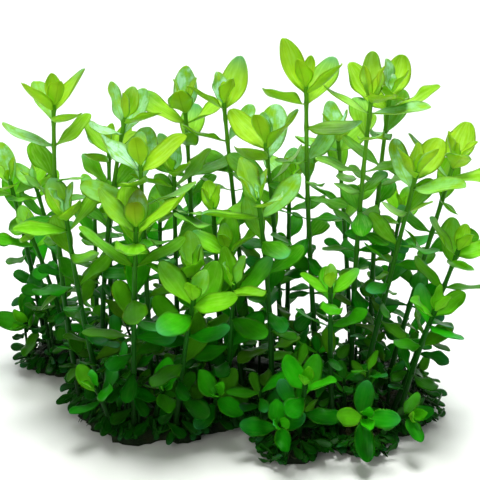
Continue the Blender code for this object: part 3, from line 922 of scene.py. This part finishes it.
olive = add_node(tree, "Math", "POWER", along, OLIVE_POWER)
for share in (youth, OLIVE_TIP):
    olive = add_node(tree, "Math", "MULTIPLY", olive, share)
tipped = add_node(tree, "Mix", "MIX", olive, green, darker)
# Painted highlight: the middle of each leaf is lighter, and deep in the shade brighter still.
painted_middle_highlight = add_node(tree, "Math", "MULTIPLY_ADD", from_middle, *PAINTED_MIDDLE_LINE)
painted_middle_glow = painted_middle_highlight
for share in (PAINTED_MIDDLE_GLOW, shade):
    painted_middle_glow = add_node(tree, "Math", "MULTIPLY", painted_middle_glow, share)
centred = add_node(tree, "Mix", "ADD", painted_middle_glow, tipped, tipped)
centred = add_node(tree, "Mix", "MIX", painted_middle_highlight, centred, lighter)
streaked = add_node(tree, "Mix", "MIX", streak, centred, linear(FIBRE_GREEN))
pale_vein = add_node(tree, "Math", "MULTIPLY", vein, VEIN)
upper_face = add_node(tree, "Mix", "MIX", pale_vein, streaked, lighter)

# The underside is lighter toward the foot: a painted glow of light shining through the leaf.
foot_glow = add_node(tree, "Math", "POWER", to_foot, FOOT_POWER)
for share in (youth, FOOT_GLOW):
    foot_glow = add_node(tree, "Math", "MULTIPLY", foot_glow, share)
glowing = add_node(tree, "Mix", "MIX", foot_glow, tipped, linear(FOOT_GREEN))
dark_midrib = add_node(tree, "Math", "MULTIPLY", midrib, MIDRIB_BELOW)
lower_face = add_node(tree, "Mix", "MIX", dark_midrib, glowing, darker)
faces = add_node(tree, "Mix", "MIX", under, upper_face, lower_face)
edge = add_node(tree, "Math", "MULTIPLY_ADD", from_middle, *EDGE_LINE)
edge = add_node(tree, "Math", "MAXIMUM", edge, 0.0)
edge = add_node(tree, "Math", "MULTIPLY", edge, EDGE_DARKNESS)
faces = add_node(tree, "Mix", "MIX", edge, faces, darker)
print("nodes so far", len(tree.nodes))

# %% [markdown]
# ## Painted sheen and reflections on the skin
# Some leaves near the light carry a pale bluish painted sheen, in patches that leave the
# veins clear, and a few carry a painted bluish reflection at the tip. Both lie on the upper
# face alone. A leaf's own number, its tint, chooses it. One young pair is bronze, as new
# growth can be; its tint is above one. Cells are far too fine to see, so the small bumps
# that stand in for them are a third of a millimetre apart.

# %% Painted sheen, painted reflection, bronze and the bumps of the skin
PAINTED_SHEEN_TINTS = (0.50, 0.72)
PAINTED_SHEEN_COLOURS = ((0.0, "#4CAE62"), (0.45, "#84CE9C"), (0.85, "#C0EED6"))
HIGH_LINE = (-2.9, 1.0)
PATCH_LINE = (3.4, -0.45)
THINNER_TO_TIP = 0.75
PAINTED_SHEEN_OF_AGE_LINE = (-0.8, 1.0)
CLEAR_VEIN_LINE = (-0.85, 1.0)

SHEEN_TINTS = (0.22, 0.12)
SHEEN_POWER = 5.0
TIP_SHEEN = 0.70
SHEEN_BLUE = "#5FAE90"

BRONZE_TINT = 1.0
BRONZE_POWER = 1.2
BRONZE = 0.8
BRONZE_GREEN = "#5E6A10"

CELL_MM = 0.35
CELL_RELIEF = 0.2
SUNK_VEIN = -0.8
BUMP_HEIGHT = 0.25 * MM

upper = add_node(tree, "Math", "SUBTRACT", 1.0, under)
high = add_node(tree, "Math", "MULTIPLY_ADD", shade, *HIGH_LINE)
patchy = add_node(tree, "Math", "MULTIPLY_ADD", mottle, *PATCH_LINE)
from_foot = add_node(tree, "Math", "MULTIPLY", along, THINNER_TO_TIP)
# A painted sheen: pale bluish colour standing in for reflected light on upper faces near the heads.
painted_sheen = upper
for share in (add_node(tree, "Math", "MAXIMUM", high, 0.0),
              add_node(tree, "MapRange", tint, *PAINTED_SHEEN_TINTS),
              add_node(tree, "Math", "MULTIPLY_ADD", age, *PAINTED_SHEEN_OF_AGE_LINE),
              add_node(tree, "Math", "SUBTRACT", patchy, from_foot, use_clamp=True),
              add_node(tree, "Math", "MULTIPLY_ADD", vein, *CLEAR_VEIN_LINE)):
    painted_sheen = add_node(tree, "Math", "MULTIPLY", painted_sheen, share)
painted_sheen_colour = add_node(tree, "ValToRGB", painted_sheen, stops=PAINTED_SHEEN_COLOURS)
skin = add_node(tree, "Mix", "MIX", painted_sheen, faces, painted_sheen_colour)

# A painted reflection: bluish colour at the tips of a few leaves.
tip_sheen = add_node(tree, "Math", "POWER", along, SHEEN_POWER)
for share in (add_node(tree, "MapRange", tint, *SHEEN_TINTS), upper, mostly_lit, TIP_SHEEN):
    tip_sheen = add_node(tree, "Math", "MULTIPLY", tip_sheen, share)
skin = add_node(tree, "Mix", "MIX", tip_sheen, skin, linear(SHEEN_BLUE))

bronze = add_node(tree, "Math", "GREATER_THAN", tint, BRONZE_TINT)
for share in (add_node(tree, "Math", "POWER", along, BRONZE_POWER), BRONZE):
    bronze = add_node(tree, "Math", "MULTIPLY", bronze, share)
skin = add_node(tree, "Mix", "MIX", bronze, skin, linear(BRONZE_GREEN))
tree.links.new(skin, shader.inputs["Base Color"])

cells = add_node(tree, "TexVoronoi", object_place, Scale=1 / (CELL_MM * MM))
cells = add_node(tree, "Math", "MULTIPLY", cells, CELL_RELIEF)
relief = add_node(tree, "Math", "MULTIPLY_ADD", vein, SUNK_VEIN, cells)
bump = add_node(tree, "Bump", Height=relief, Strength=0.25, Distance=BUMP_HEIGHT)
tree.links.new(bump, shader.inputs["Normal"])
print("nodes in leaf tissue", len(tree.nodes))

# %% [markdown]
# ## Stem
# The stem is round, juicy and almost smooth, with fine lengthwise ribs and a small swelling
# at each pair. It grew as leaf tissue did, so it has the same wet skin, but it is darker.
# It is a profile carried along the shoot's curve: a circle whose radius follows the taper
# plus a small hill at every pair. The ribs are a noise stretched along the stem.

# %% Stem tissue
# Stem greens from the heads, at 0, to the foot, at 1: the darkening down the stem is painted shade.
STEM_GREENS = ((0.0, "#5E9E20"), (0.25, "#357C10"), (0.6, "#125606"), (1.0, "#082C03"))
RIB_WIDTH = 0.625 * MM
RIB_LENGTH = 16.7 * MM
RIB_HEIGHT = 0.2 * MM

stem_tissue, tree, shader = new_material(
    "juicy_bacopa_stem_tissue", Roughness=0.42, IOR=1.36, Specular_IOR_Level=0.15,
    Subsurface_Weight=0.2, Subsurface_Scale=1.5 * MM, Subsurface_Radius=(0.5, 1.0, 0.2))
shade = add_node(tree, "Attribute", attribute_name="leaf_facts", out="Alpha")
object_place = add_node(tree, "TexCoord", out="Object")
green = add_node(tree, "ValToRGB", shade, stops=STEM_GREENS)
stretched = add_node(tree, "Mapping", object_place,
                     Scale=(1 / RIB_WIDTH, 1 / RIB_WIDTH, 1 / RIB_LENGTH))
ribs = add_node(tree, "TexNoise", stretched, Scale=1.0, Detail=3.0)
ribbed = add_node(tree, "Mix", "OVERLAY", 0.5, green, ribs)
tree.links.new(ribbed, shader.inputs["Base Color"])
bump = add_node(tree, "Bump", Height=ribs, Strength=0.35, Distance=RIB_HEIGHT)
tree.links.new(bump, shader.inputs["Normal"])
print("nodes in stem tissue", len(tree.nodes))

# %% Stem surface
STEM_AROUND = 14
RING_GAP = 1.6 * MM
SWELL = 0.32 * MM
SWELL_REACH = 2.2 * MM
STEM_SINKS = 6 * MM
STEM_SLIM = 0.94
STEM_LOWEST = 0.3 * MM
FEWEST_RINGS = 8

# The tip rounds off over this share of the length, down to this share of the radius, squared.
BUD_LENGTH = 0.02
BUD_TIP = 0.02


def tube_faces(rings, around, first_point=0):
    """Quads up a tube and a fan at each end; the end points follow the rings."""
    ring = np.arange(around) + first_point
    after = np.roll(ring, -1)
    rows = np.arange(rings - 1)[:, None] * around
    quads = np.stack([rows + ring, rows + after, rows + after + around, rows + ring + around],
                     axis=-1).reshape(-1, 4)
    bottom = first_point + rings * around
    last = (rings - 1) * around
    low = np.stack([after, ring, np.full(around, bottom)], axis=-1)
    high = np.stack([last + ring, last + after, np.full(around, bottom + 1)], axis=-1)
    return quads.tolist() + low.tolist() + high.tolist()


def stem_surface(shoot, around, slim, first_point):
    """Rings of points up a stem, closed by a point at each end, with facts and faces.

    The radius is the taper, plus at each pair a bell curve of the distance from it, times
    the square root of what is left of the length, which rounds off the tip.
    """
    length = stem_length(shoot)
    rings = max(FEWEST_RINGS, int(length / RING_GAP))
    share = np.linspace(-STEM_SINKS / length, 1.0, rings)
    middle = stem_line(shoot, share)
    _, first, second = stem_axes(shoot, share)
    radius = stem_radius(share) * slim
    for pair in pair_places(shoot):
        radius = radius + SWELL * slim * np.exp(-(((share - pair) * length / SWELL_REACH) ** 2))
    radius = radius * np.sqrt(np.clip((1.0 - share) / BUD_LENGTH, BUD_TIP, 1.0))
    turn = np.linspace(0, math.tau, around, endpoint=False)[:, None]
    circle = first[:, None] * np.cos(turn) + second[:, None] * np.sin(turn)
    points = (middle[:, None] + circle * radius[:, None, None]).reshape(-1, 3)
    points = np.concatenate([points, middle[:1], middle[-1:]])
    points[:, 2] = np.maximum(points[:, 2], STEM_LOWEST)
    shade = shade_at(points[:, 2])
    facts = np.stack([shade] * 4, axis=1)
    return points, facts, tube_faces(rings, around, first_point)


print("points on the longest stem", len(stem_surface(longest, STEM_AROUND, STEM_SLIM, 0)[0]))

# %% [markdown]
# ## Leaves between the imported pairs
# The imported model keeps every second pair, because solids must stay few. A grown shoot has
# pairs about 12 mm apart, so pairs are added half way between, turned by an eighth of a
# turn. Short side sprigs also crowd around each foot. All of them keep to the rules above
# and stay within the reach of the shoot's own leaves, whose solid they replace.

# %% Pairs between, and sprigs at the foot
BUD_DOWN = 0.5 * MM
BUD_SIZE = 0.55
BETWEEN_FROM_PAIR = 4
BETWEEN_SIZE = 0.80
FOOT_STEP = 13 * MM
FOOT_LEAF_SIZE = 0.80
FOOT_AGE = 3
LOWEST_PAIR = 4 * MM
SPRIGS_PER_SHOOT = 2
SPRIG_GROUND = 4
SPRIG_FAR = (9, 22)
SPRIG_TALL = (12, 40)
SPRIG_LEAN = 9
SPRIG_LEAF = (13, 19)
SPRIG_AGE = 2
FEW_SIZES = (1.0, 0.72)


def places_between(shoot):
    """Place, age, size and turn of the bud pair, of pairs between and of pairs at the foot."""
    places = pair_places(shoot)
    length = stem_length(shoot)
    found = [(1.0 - BUD_DOWN / length, 0, BUD_SIZE, 90)]
    for pair in range(BETWEEN_FROM_PAIR, len(places) - 1):
        found.append(((places[pair] + places[pair + 1]) / 2, pair, BETWEEN_SIZE, 45))
    share = places[-1] - FOOT_STEP / length
    pair = len(places)
    while share * length > LOWEST_PAIR:
        found.append((share, pair + FOOT_AGE, FOOT_LEAF_SIZE, 45))
        share -= FOOT_STEP / length
        pair += 1
    return found


def sprigs_around(shoot, dice):
    """Short side shoots that stand on the mat around a shoot's foot."""
    sprigs = []
    for number in range(SPRIGS_PER_SHOOT):
        turn = math.tau * (number + dice.random()) / SPRIGS_PER_SHOOT
        far = dice.uniform(*SPRIG_FAR)
        foot = (shoot.foot[0] + far * math.cos(turn), shoot.foot[1] + far * math.sin(turn))
        ground = float(mat_height(foot[0] * MM, foot[1] * MM)) / MM
        if ground < SPRIG_GROUND:
            continue
        lean = dice.uniform(0, SPRIG_LEAN)
        tip = (foot[0] + lean * math.cos(turn), foot[1] + lean * math.sin(turn),
               ground + dice.uniform(*SPRIG_TALL))
        sprigs.append(Shoot(shoot.name, foot, tip, (0, 0), dice.uniform(0, 90),
                            dice.uniform(*SPRIG_LEAF)))
    return sprigs


def leaves_between(shoot, stems, leaves, dice):
    """Leaves of the pairs between, each where it finds room."""
    found = []
    for share, pair, size, turn in places_between(shoot):
        for side in (0, 1):
            leaf = Leaf(shoot, pair, side, share, dice)
            leaf.length *= size
            leaf.width *= size
            leaf.turn += turn
            if settle(leaf, stems, leaves, FEW_SIZES):
                found.append((leaf, PLAIN_GRID))
    return found


def sprig_leaves(sprig, stems, leaves, dice):
    """Leaves of one side sprig, each where it finds room."""
    found = []
    for pair, share in enumerate(pair_places(sprig)):
        for side in (0, 1):
            leaf = Leaf(sprig, pair + SPRIG_AGE, side, share, dice)
            if settle(leaf, stems, leaves, FEW_SIZES):
                found.append((leaf, SMALL_GRID))
    return found


dice = random.Random(SEED + 2)
standing_leaves = Crowd()
for name, some in grown.items():
    for leaf in some:
        standing_leaves.add(name, *leaf.test_surface())
sprigs = {shoot.name: sprigs_around(shoot, dice) for shoot in SHOOTS}
added = {}
for shoot in SHOOTS:
    added[shoot.name] = leaves_between(shoot, standing_stems, standing_leaves, dice)
    for sprig in sprigs[shoot.name]:
        added[shoot.name] += sprig_leaves(sprig, standing_stems, standing_leaves, dice)
print("leaves between and on sprigs", sum(len(some) for some in added.values()),
      "sprigs", sum(len(some) for some in sprigs.values()))

# %% [markdown]
# ## Dressing
# All blades of a shoot become one mesh and its stem and sprigs another. Forty separate
# plants would be easier to drag about, but here each dressed shoot takes the place of one
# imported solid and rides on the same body.

# %% Dress every shoot
SPRIG_AROUND = 7
SPRIG_SLIM = 0.55
BRONZE_SHOOT = "shoot_front_left_main"
BRONZE_PAIRS = (0,)


def blades_mesh(name, leaves_and_grids, dice):
    """One mesh of many blades, each given with its grid."""
    blades, places, facts, faces = [], [], [], []
    first_point = 0
    for leaf, grid in leaves_and_grids:
        points, uv, under = blade_surface(leaf, grid, dice)
        blades.append(points)
        places.append(uv)
        bronze = leaf.shoot.name == BRONZE_SHOOT and leaf.pair in BRONZE_PAIRS
        facts.append(leaf_facts(leaf, points, under, dice.random() + bronze))
        faces += blade_faces(grid, first_point)
        first_point += len(points)
    return make_object(name, np.concatenate(blades), faces, leaf_tissue,
                       np.concatenate(facts), np.concatenate(places))


def stems_mesh(name, stems):
    """One mesh of many stems, each given with its count of sides and its slimness."""
    rings, facts, faces = [], [], []
    first_point = 0
    for shoot, around, slim in stems:
        points, shades, quads = stem_surface(shoot, around, slim, first_point)
        rings.append(points)
        facts.append(shades)
        faces += quads
        first_point += len(points)
    return make_object(name, np.concatenate(rings), faces, stem_tissue, np.concatenate(facts))


def fit_piece(piece, node):
    """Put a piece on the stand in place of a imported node; return its count of triangles."""
    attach(piece, "root")
    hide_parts(node)
    return sum(len(face.vertices) - 2 for face in piece.data.polygons)


dice = random.Random(SEED + 1)
triangle_total = 0
for shoot in SHOOTS:
    blades = [(leaf, FINE_GRID) for leaf in grown[shoot.name]] + added[shoot.name]
    stems = [(shoot, STEM_AROUND, STEM_SLIM)]
    stems += [(sprig, SPRIG_AROUND, SPRIG_SLIM) for sprig in sprigs[shoot.name]]
    for piece in (blades_mesh("leaves_of_" + shoot.name, blades, dice),
                  stems_mesh("stems_of_" + shoot.name, stems)):
        triangle_total += fit_piece(piece, shoot.name)
print("triangles in shoots", triangle_total)

# %% [markdown]
# ## Root mat
# At the foot the shoots run together: creeping stems, fine roots and old leaves packed into
# a dark tangle. It could be one rough lump, but a lump has no depth. Here low lumpy mounds
# carry the tangle, strands of root lie over them, and creeping stems push small dark leaves
# out over the rim. A strand is a tube along a wandering line that follows the mounds.

# %% Mounds of the mat
MAT_AROUND = 96
MAT_RINGS = 20
MAT_REACH = 0.91
MAT_RISE = 0.84
LUMP_MM = 7.0
LUMP_SIZE = 0.10
LARGE_LUMPS = 3
WAVE_COUNT = 10
LUMP_LIMITS = (0.8, 1.0 / MAT_REACH)
WAVE_LENGTHS_VARY = (0.6, 1.6)


def waves(points, size, dice):
    """Smooth noise: sine waves in random directions over the square root of their count."""
    total = np.zeros(points.shape[:-1])
    for _ in range(WAVE_COUNT):
        heading = np.array([dice.gauss(0, 1) for _ in range(3)])
        heading *= math.tau / (size * MM) / np.linalg.norm(heading)
        heading *= dice.uniform(*WAVE_LENGTHS_VARY)
        total += np.sin(points @ heading + dice.uniform(0, math.tau))
    return total / math.sqrt(WAVE_COUNT)


def mound_surface(mound, dice, first_point):
    """A lumpy half ball with a flat foot: rings from the rim to the top, then the foot.

    Points of an ellipsoid are scaled by one plus large lumps and half as high small ones.
    """
    turn = np.linspace(0, math.tau, MAT_AROUND, endpoint=False)
    rise = np.linspace(0, math.pi / 2, MAT_RINGS, endpoint=False)[:, None]
    x = np.cos(turn) * np.cos(rise) * mound.reach[0] * MAT_REACH
    y = np.sin(turn) * np.cos(rise) * mound.reach[1] * MAT_REACH
    z = np.sin(rise) * mound.height * MAT_RISE * np.ones(MAT_AROUND)
    points = np.stack([x, y, z], axis=-1) * MM
    lumps = 1 + LUMP_SIZE * waves(points, LUMP_MM * LARGE_LUMPS, dice)
    lumps += 0.5 * LUMP_SIZE * waves(points, LUMP_MM, dice)
    points *= np.clip(lumps, *LUMP_LIMITS)[..., None]
    points = points.reshape(-1, 3)
    ends = np.array([[0, 0, 0], [0, 0, mound.height * MAT_RISE * MM]])
    points = np.concatenate([points, ends]) + np.array([*mound.centre, 0]) * MM
    return points, tube_faces(MAT_RINGS, MAT_AROUND, first_point)


print("the mat's middle is about", round(float(mat_height(0.0, 0.0)) * MAT_RISE / MM, 1), "mm high")


# %% Strands of root
STRANDS = 560
STRAND_AROUND = 6
STRAND_STATIONS = 22
STRAND_LENGTH = (22, 60)
STRAND_RADIUS = (0.30, 0.95)
STRAND_FAR = 0.92
STRAND_WANDERS = 0.9
STRAND_DIPS = (6, 14)
STRAND_STARTS = 6
STRAND_RIDES = 1.2
STRAND_SINKS = 1.0
STRAND_LOWEST = 2.0 * MM
STRAND_FLOOR = 1.1 * MM
STRAND_END = 0.35
FEWEST_STATIONS = 5


def tube(line, radius, around, first_point):
    """A closed tube around a line of points, thinner toward both ends.

    Its radius is a part that stays plus a part times the root of half a sine wave.
    """
    along = unit(np.gradient(line, axis=0))
    side = unit(np.cross(along, [0.13, 0.21, 1.0]))
    up = np.cross(side, along)
    turn = np.linspace(0, math.tau, around, endpoint=False)[:, None]
    share = np.linspace(0, 1, len(line))
    thick = radius * (STRAND_END + (1 - STRAND_END) * np.sin(math.pi * share) ** 0.5)
    circle = side[:, None] * np.cos(turn) - up[:, None] * np.sin(turn)
    points = (line[:, None] + circle * thick[:, None, None]).reshape(-1, 3)
    return np.concatenate([points, line[:1], line[-1:]]), tube_faces(len(line), around, first_point)


def strand_line(dice):
    """A line that wanders over a mound and dips in and out of its skin, cut short at a rim.

    Its heading is a start plus three sine waves, and its places are sums of even steps along
    it. Its height is the mound's, plus a sine wave that lies mostly below the skin.
    """
    mound = dice.choice(MOUNDS)
    turn = dice.uniform(0, math.tau)
    far = math.sqrt(dice.random()) * STRAND_FAR
    start = np.array([mound.centre[0] + far * mound.reach[0] * math.cos(turn),
                      mound.centre[1] + far * mound.reach[1] * math.sin(turn)]) * MM
    share = np.linspace(0, 1, STRAND_STATIONS)
    heading = dice.uniform(0, math.tau)
    bends = [dice.gauss(0, STRAND_WANDERS) for _ in range(3)]
    heading = heading + sum(bend * np.sin(math.pi * (number + 1) * share + number)
                            for number, bend in enumerate(bends))
    step = dice.uniform(*STRAND_LENGTH) * MM / STRAND_STATIONS
    x = start[0] + np.cumsum(np.cos(heading)) * step
    y = start[1] + np.cumsum(np.sin(heading)) * step
    dips = np.sin(share * dice.uniform(*STRAND_DIPS) + dice.random() * STRAND_STARTS)
    ride = (STRAND_RIDES * dips - STRAND_SINKS) * MM
    ground = mat_height(x, y)
    stop = int(np.argmax(np.append(ground, 0.0) < STRAND_LOWEST))
    height = np.maximum(ground * MAT_RISE + ride, STRAND_FLOOR)
    line = np.stack([x, y, height], axis=1)[:stop]
    return line if stop > FEWEST_STATIONS else strand_line(dice)


print("points along a strand", len(strand_line(random.Random(SEED))))

# %% [markdown]
# ## Old leaves of the mat
# Two kinds hide the mat's rim. Creeping stems lie outward over the mounds and carry pairs
# of small old leaves that find room as all others do. Closer to the cut, single old leaves
# hang over the edge like shingles. They overlap, so they aren't tested for room, only kept
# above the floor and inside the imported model's box.

# %% Creeping stems with old leaves
CREEPERS = 100
CREEPER_LENGTH = (18, 34)
CREEPER_SHORTENS_TO = 1.15
CREEPER_LEAF = (11, 17)
CREEPER_TIP = (2, 9)
CREEPER_AGE = 5
CREEPER_FAR = (0.45, 1.0)
CREEPER_HEADING_VARIES = 0.8
BOX_SPARE = 2.5 * MM


def creepers(dice):
    """Creeping stems as short shoots that lie outward over the mounds, shorter near a rim."""
    found = []
    while len(found) < CREEPERS:
        mound = dice.choice(MOUNDS)
        turn = dice.uniform(0, math.tau)
        far = dice.uniform(*CREEPER_FAR)
        foot = (mound.centre[0] + far * mound.reach[0] * math.cos(turn),
                mound.centre[1] + far * mound.reach[1] * math.sin(turn))
        length = dice.uniform(*CREEPER_LENGTH) * (CREEPER_SHORTENS_TO - far)
        heading = turn + dice.gauss(0, CREEPER_HEADING_VARIES)
        tip = (foot[0] + length * math.cos(heading), foot[1] + length * math.sin(heading))
        ground = float(mat_height(tip[0] * MM, tip[1] * MM)) / MM
        found.append(Shoot("creeper", foot, (*tip, ground + dice.uniform(*CREEPER_TIP)), (0, 0),
                           dice.uniform(0, 90), dice.uniform(*CREEPER_LEAF)))
    return found


def inside_box(leaf):
    """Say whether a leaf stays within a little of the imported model's box."""
    points = leaf.test_surface()[0]
    low, high = np.array(CAD_BOX)
    return bool(np.all(points > low - BOX_SPARE) and np.all(points < high + BOX_SPARE))


def creeper_leaves(some, stems, leaves, dice):
    """Old leaves in pairs along creeping stems, each where it finds room."""
    found = []
    for creeper in some:
        for pair, share in enumerate(pair_places(creeper)):
            for side in (0, 1):
                leaf = Leaf(creeper, CREEPER_AGE, side, share, dice)
                leaf.turn += 90 * (pair % 2)
                if settle(leaf, stems, leaves, FEW_SIZES) and inside_box(leaf):
                    found.append((leaf, SMALL_GRID))
    return found


print("pairs on a creeping stem", len(pair_places(creepers(random.Random(SEED))[0])))


# %% Old leaves that hang over the rim
RIM_PLACES_PER_MM = 2.6
RIM_FROM = 0.70
RIM_LEAF = (11, 18)
RIM_LEAF_AGES = (4, 6, 8)
RIM_HEADING_VARIES = 0.7
RIM_STALK = 4.0
RIM_TIP_HEIGHT = (0.8, 6.0)
RIM_OUTSIDE = 10.0
RIM_OUTSIDE_HEIGHT = 4.0
RIM_LOWEST = 0.3 * MM
RIM_FALLS = (-0.3, 0.95)


def rim_leaf(mound, turn, dice):
    """An old leaf that starts on a mound's upper edge and heads outward and down.

    Its angle is the arcsine of its fall over its length, so that its tip ends at a chosen
    height. Inner slopes, where another mound stands just outside, get none.
    """
    far = dice.uniform(RIM_FROM, MAT_REACH)
    x = mound.centre[0] + far * mound.reach[0] * math.cos(turn)
    y = mound.centre[1] + far * mound.reach[1] * math.sin(turn)
    outward = math.atan2(math.sin(turn) / mound.reach[1], math.cos(turn) / mound.reach[0])
    outside = mat_height((x + RIM_OUTSIDE * math.cos(outward)) * MM,
                         (y + RIM_OUTSIDE * math.sin(outward)) * MM) / MM
    ground = float(mat_height(x * MM, y * MM)) / MM * MAT_RISE
    heading = math.degrees(outward + dice.gauss(0, RIM_HEADING_VARIES))
    stalk = Shoot("rim", (x, y), (x, y, ground + RIM_STALK), (0, 0), heading,
                  dice.uniform(*RIM_LEAF))
    leaf = Leaf(stalk, dice.choice(RIM_LEAF_AGES), 0, 0.5, dice)
    fall = (ground - dice.uniform(*RIM_TIP_HEIGHT)) * MM / leaf.length
    leaf.rise = -math.degrees(math.asin(min(max(fall, RIM_FALLS[0]), RIM_FALLS[1])))
    lowest = leaf.test_surface()[0][:, 2].min()
    fits = outside < RIM_OUTSIDE_HEIGHT and lowest > RIM_LOWEST and inside_box(leaf)
    return leaf if fits else None


def rim_leaves(dice):
    """Old leaves dealt evenly around every mound."""
    found = []
    for mound in MOUNDS:
        count = int(RIM_PLACES_PER_MM * sum(mound.reach))
        for number in range(count):
            leaf = rim_leaf(mound, math.tau * (number + dice.random()) / count, dice)
            if leaf:
                found.append((leaf, SMALL_GRID))
    return found


print("places around the rims", sum(int(RIM_PLACES_PER_MM * sum(mound.reach)) for mound in MOUNDS))

# %% [markdown]
# ## Skins of the mat
# Under its leaves the mat is a packed tangle of dead stems and roots. Close up each thread
# could be drawn, but in the shade only patches of brown and a rough surface show. So the
# mounds are rough and patchy, and the roots that cross them are smoother and a little
# paler. Both patterns are noise on the place in the stand, sized from the real patches.

# %% Tangle and root skin
# The tangle rots as it lies, so it is matt and crumbly, brown in patches, and rough.
# Its near-black tone is partly its own dark colour and partly painted shade at the foot.
TANGLE_COLOURS = ((0.30, "#0A1406"), (0.50, "#12240B"), (0.62, "#1E2A10"), (0.78, "#2B2412"))
TANGLE_PATCH = 9 * MM
TANGLE_CRUMB = 1.2 * MM
TANGLE_RELIEF = 0.8 * MM
tangle, tree, shader = new_material("dark_root_tangle", Roughness=0.75, Specular_IOR_Level=0.2)
object_place = add_node(tree, "TexCoord", out="Object")
patches = add_node(tree, "TexNoise", object_place, Scale=1 / TANGLE_PATCH, Detail=5.0)
earthy = add_node(tree, "ValToRGB", patches, stops=TANGLE_COLOURS)
tree.links.new(earthy, shader.inputs["Base Color"])
crumbs = add_node(tree, "TexNoise", object_place, Scale=1 / TANGLE_CRUMB, Detail=6.0)
bump = add_node(tree, "Bump", Height=crumbs, Strength=0.8, Distance=TANGLE_RELIEF)
tree.links.new(bump, shader.inputs["Normal"])

# A root's skin is thin, smooth and wet, so it has more gloss, and it browns in places.
ROOT_COLOURS = ((0.35, "#0E1E08"), (0.50, "#1A320C"), (0.60, "#2A3010"), (0.72, "#42381A"))
ROOT_PATCH = 14 * MM
root_skin, tree, shader = new_material("thin_root_skin", Roughness=0.55, Specular_IOR_Level=0.3)
object_place = add_node(tree, "TexCoord", out="Object")
patches = add_node(tree, "TexNoise", object_place, Scale=1 / ROOT_PATCH, Detail=2.0)
browned = add_node(tree, "ValToRGB", patches, stops=ROOT_COLOURS)
tree.links.new(browned, shader.inputs["Base Color"])
print("materials", len(bpy.data.materials))

# %% Pieces of the root mat
dice = random.Random(SEED + 3)
surfaces = []
first_point = 0
for mound in MOUNDS:
    surfaces.append(mound_surface(mound, dice, first_point))
    first_point += len(surfaces[-1][0])
points, faces = zip(*surfaces)
mat = make_object("mounds_of_root_mat", np.concatenate(points), sum(faces, []), tangle)

surfaces = []
first_point = 0
for _ in range(STRANDS):
    radius = dice.uniform(*STRAND_RADIUS) * MM
    surfaces.append(tube(strand_line(dice), radius, STRAND_AROUND, first_point))
    first_point += len(surfaces[-1][0])
points, faces = zip(*surfaces)
strands = make_object("strands_of_root_mat", np.concatenate(points), sum(faces, []), root_skin)

creeping = creepers(dice)
old_leaves = blades_mesh("old_leaves_of_root_mat",
                         creeper_leaves(creeping, standing_stems, standing_leaves, dice), dice)
old_stems = stems_mesh("creeping_stems_of_root_mat",
                       [(creeper, SPRIG_AROUND, SPRIG_SLIM) for creeper in creeping])
hanging = blades_mesh("rim_leaves_of_root_mat", rim_leaves(dice), dice)
for piece in (mat, strands, old_leaves, old_stems, hanging):
    triangle_total += fit_piece(piece, "root_mat")
print("triangles in all", triangle_total)
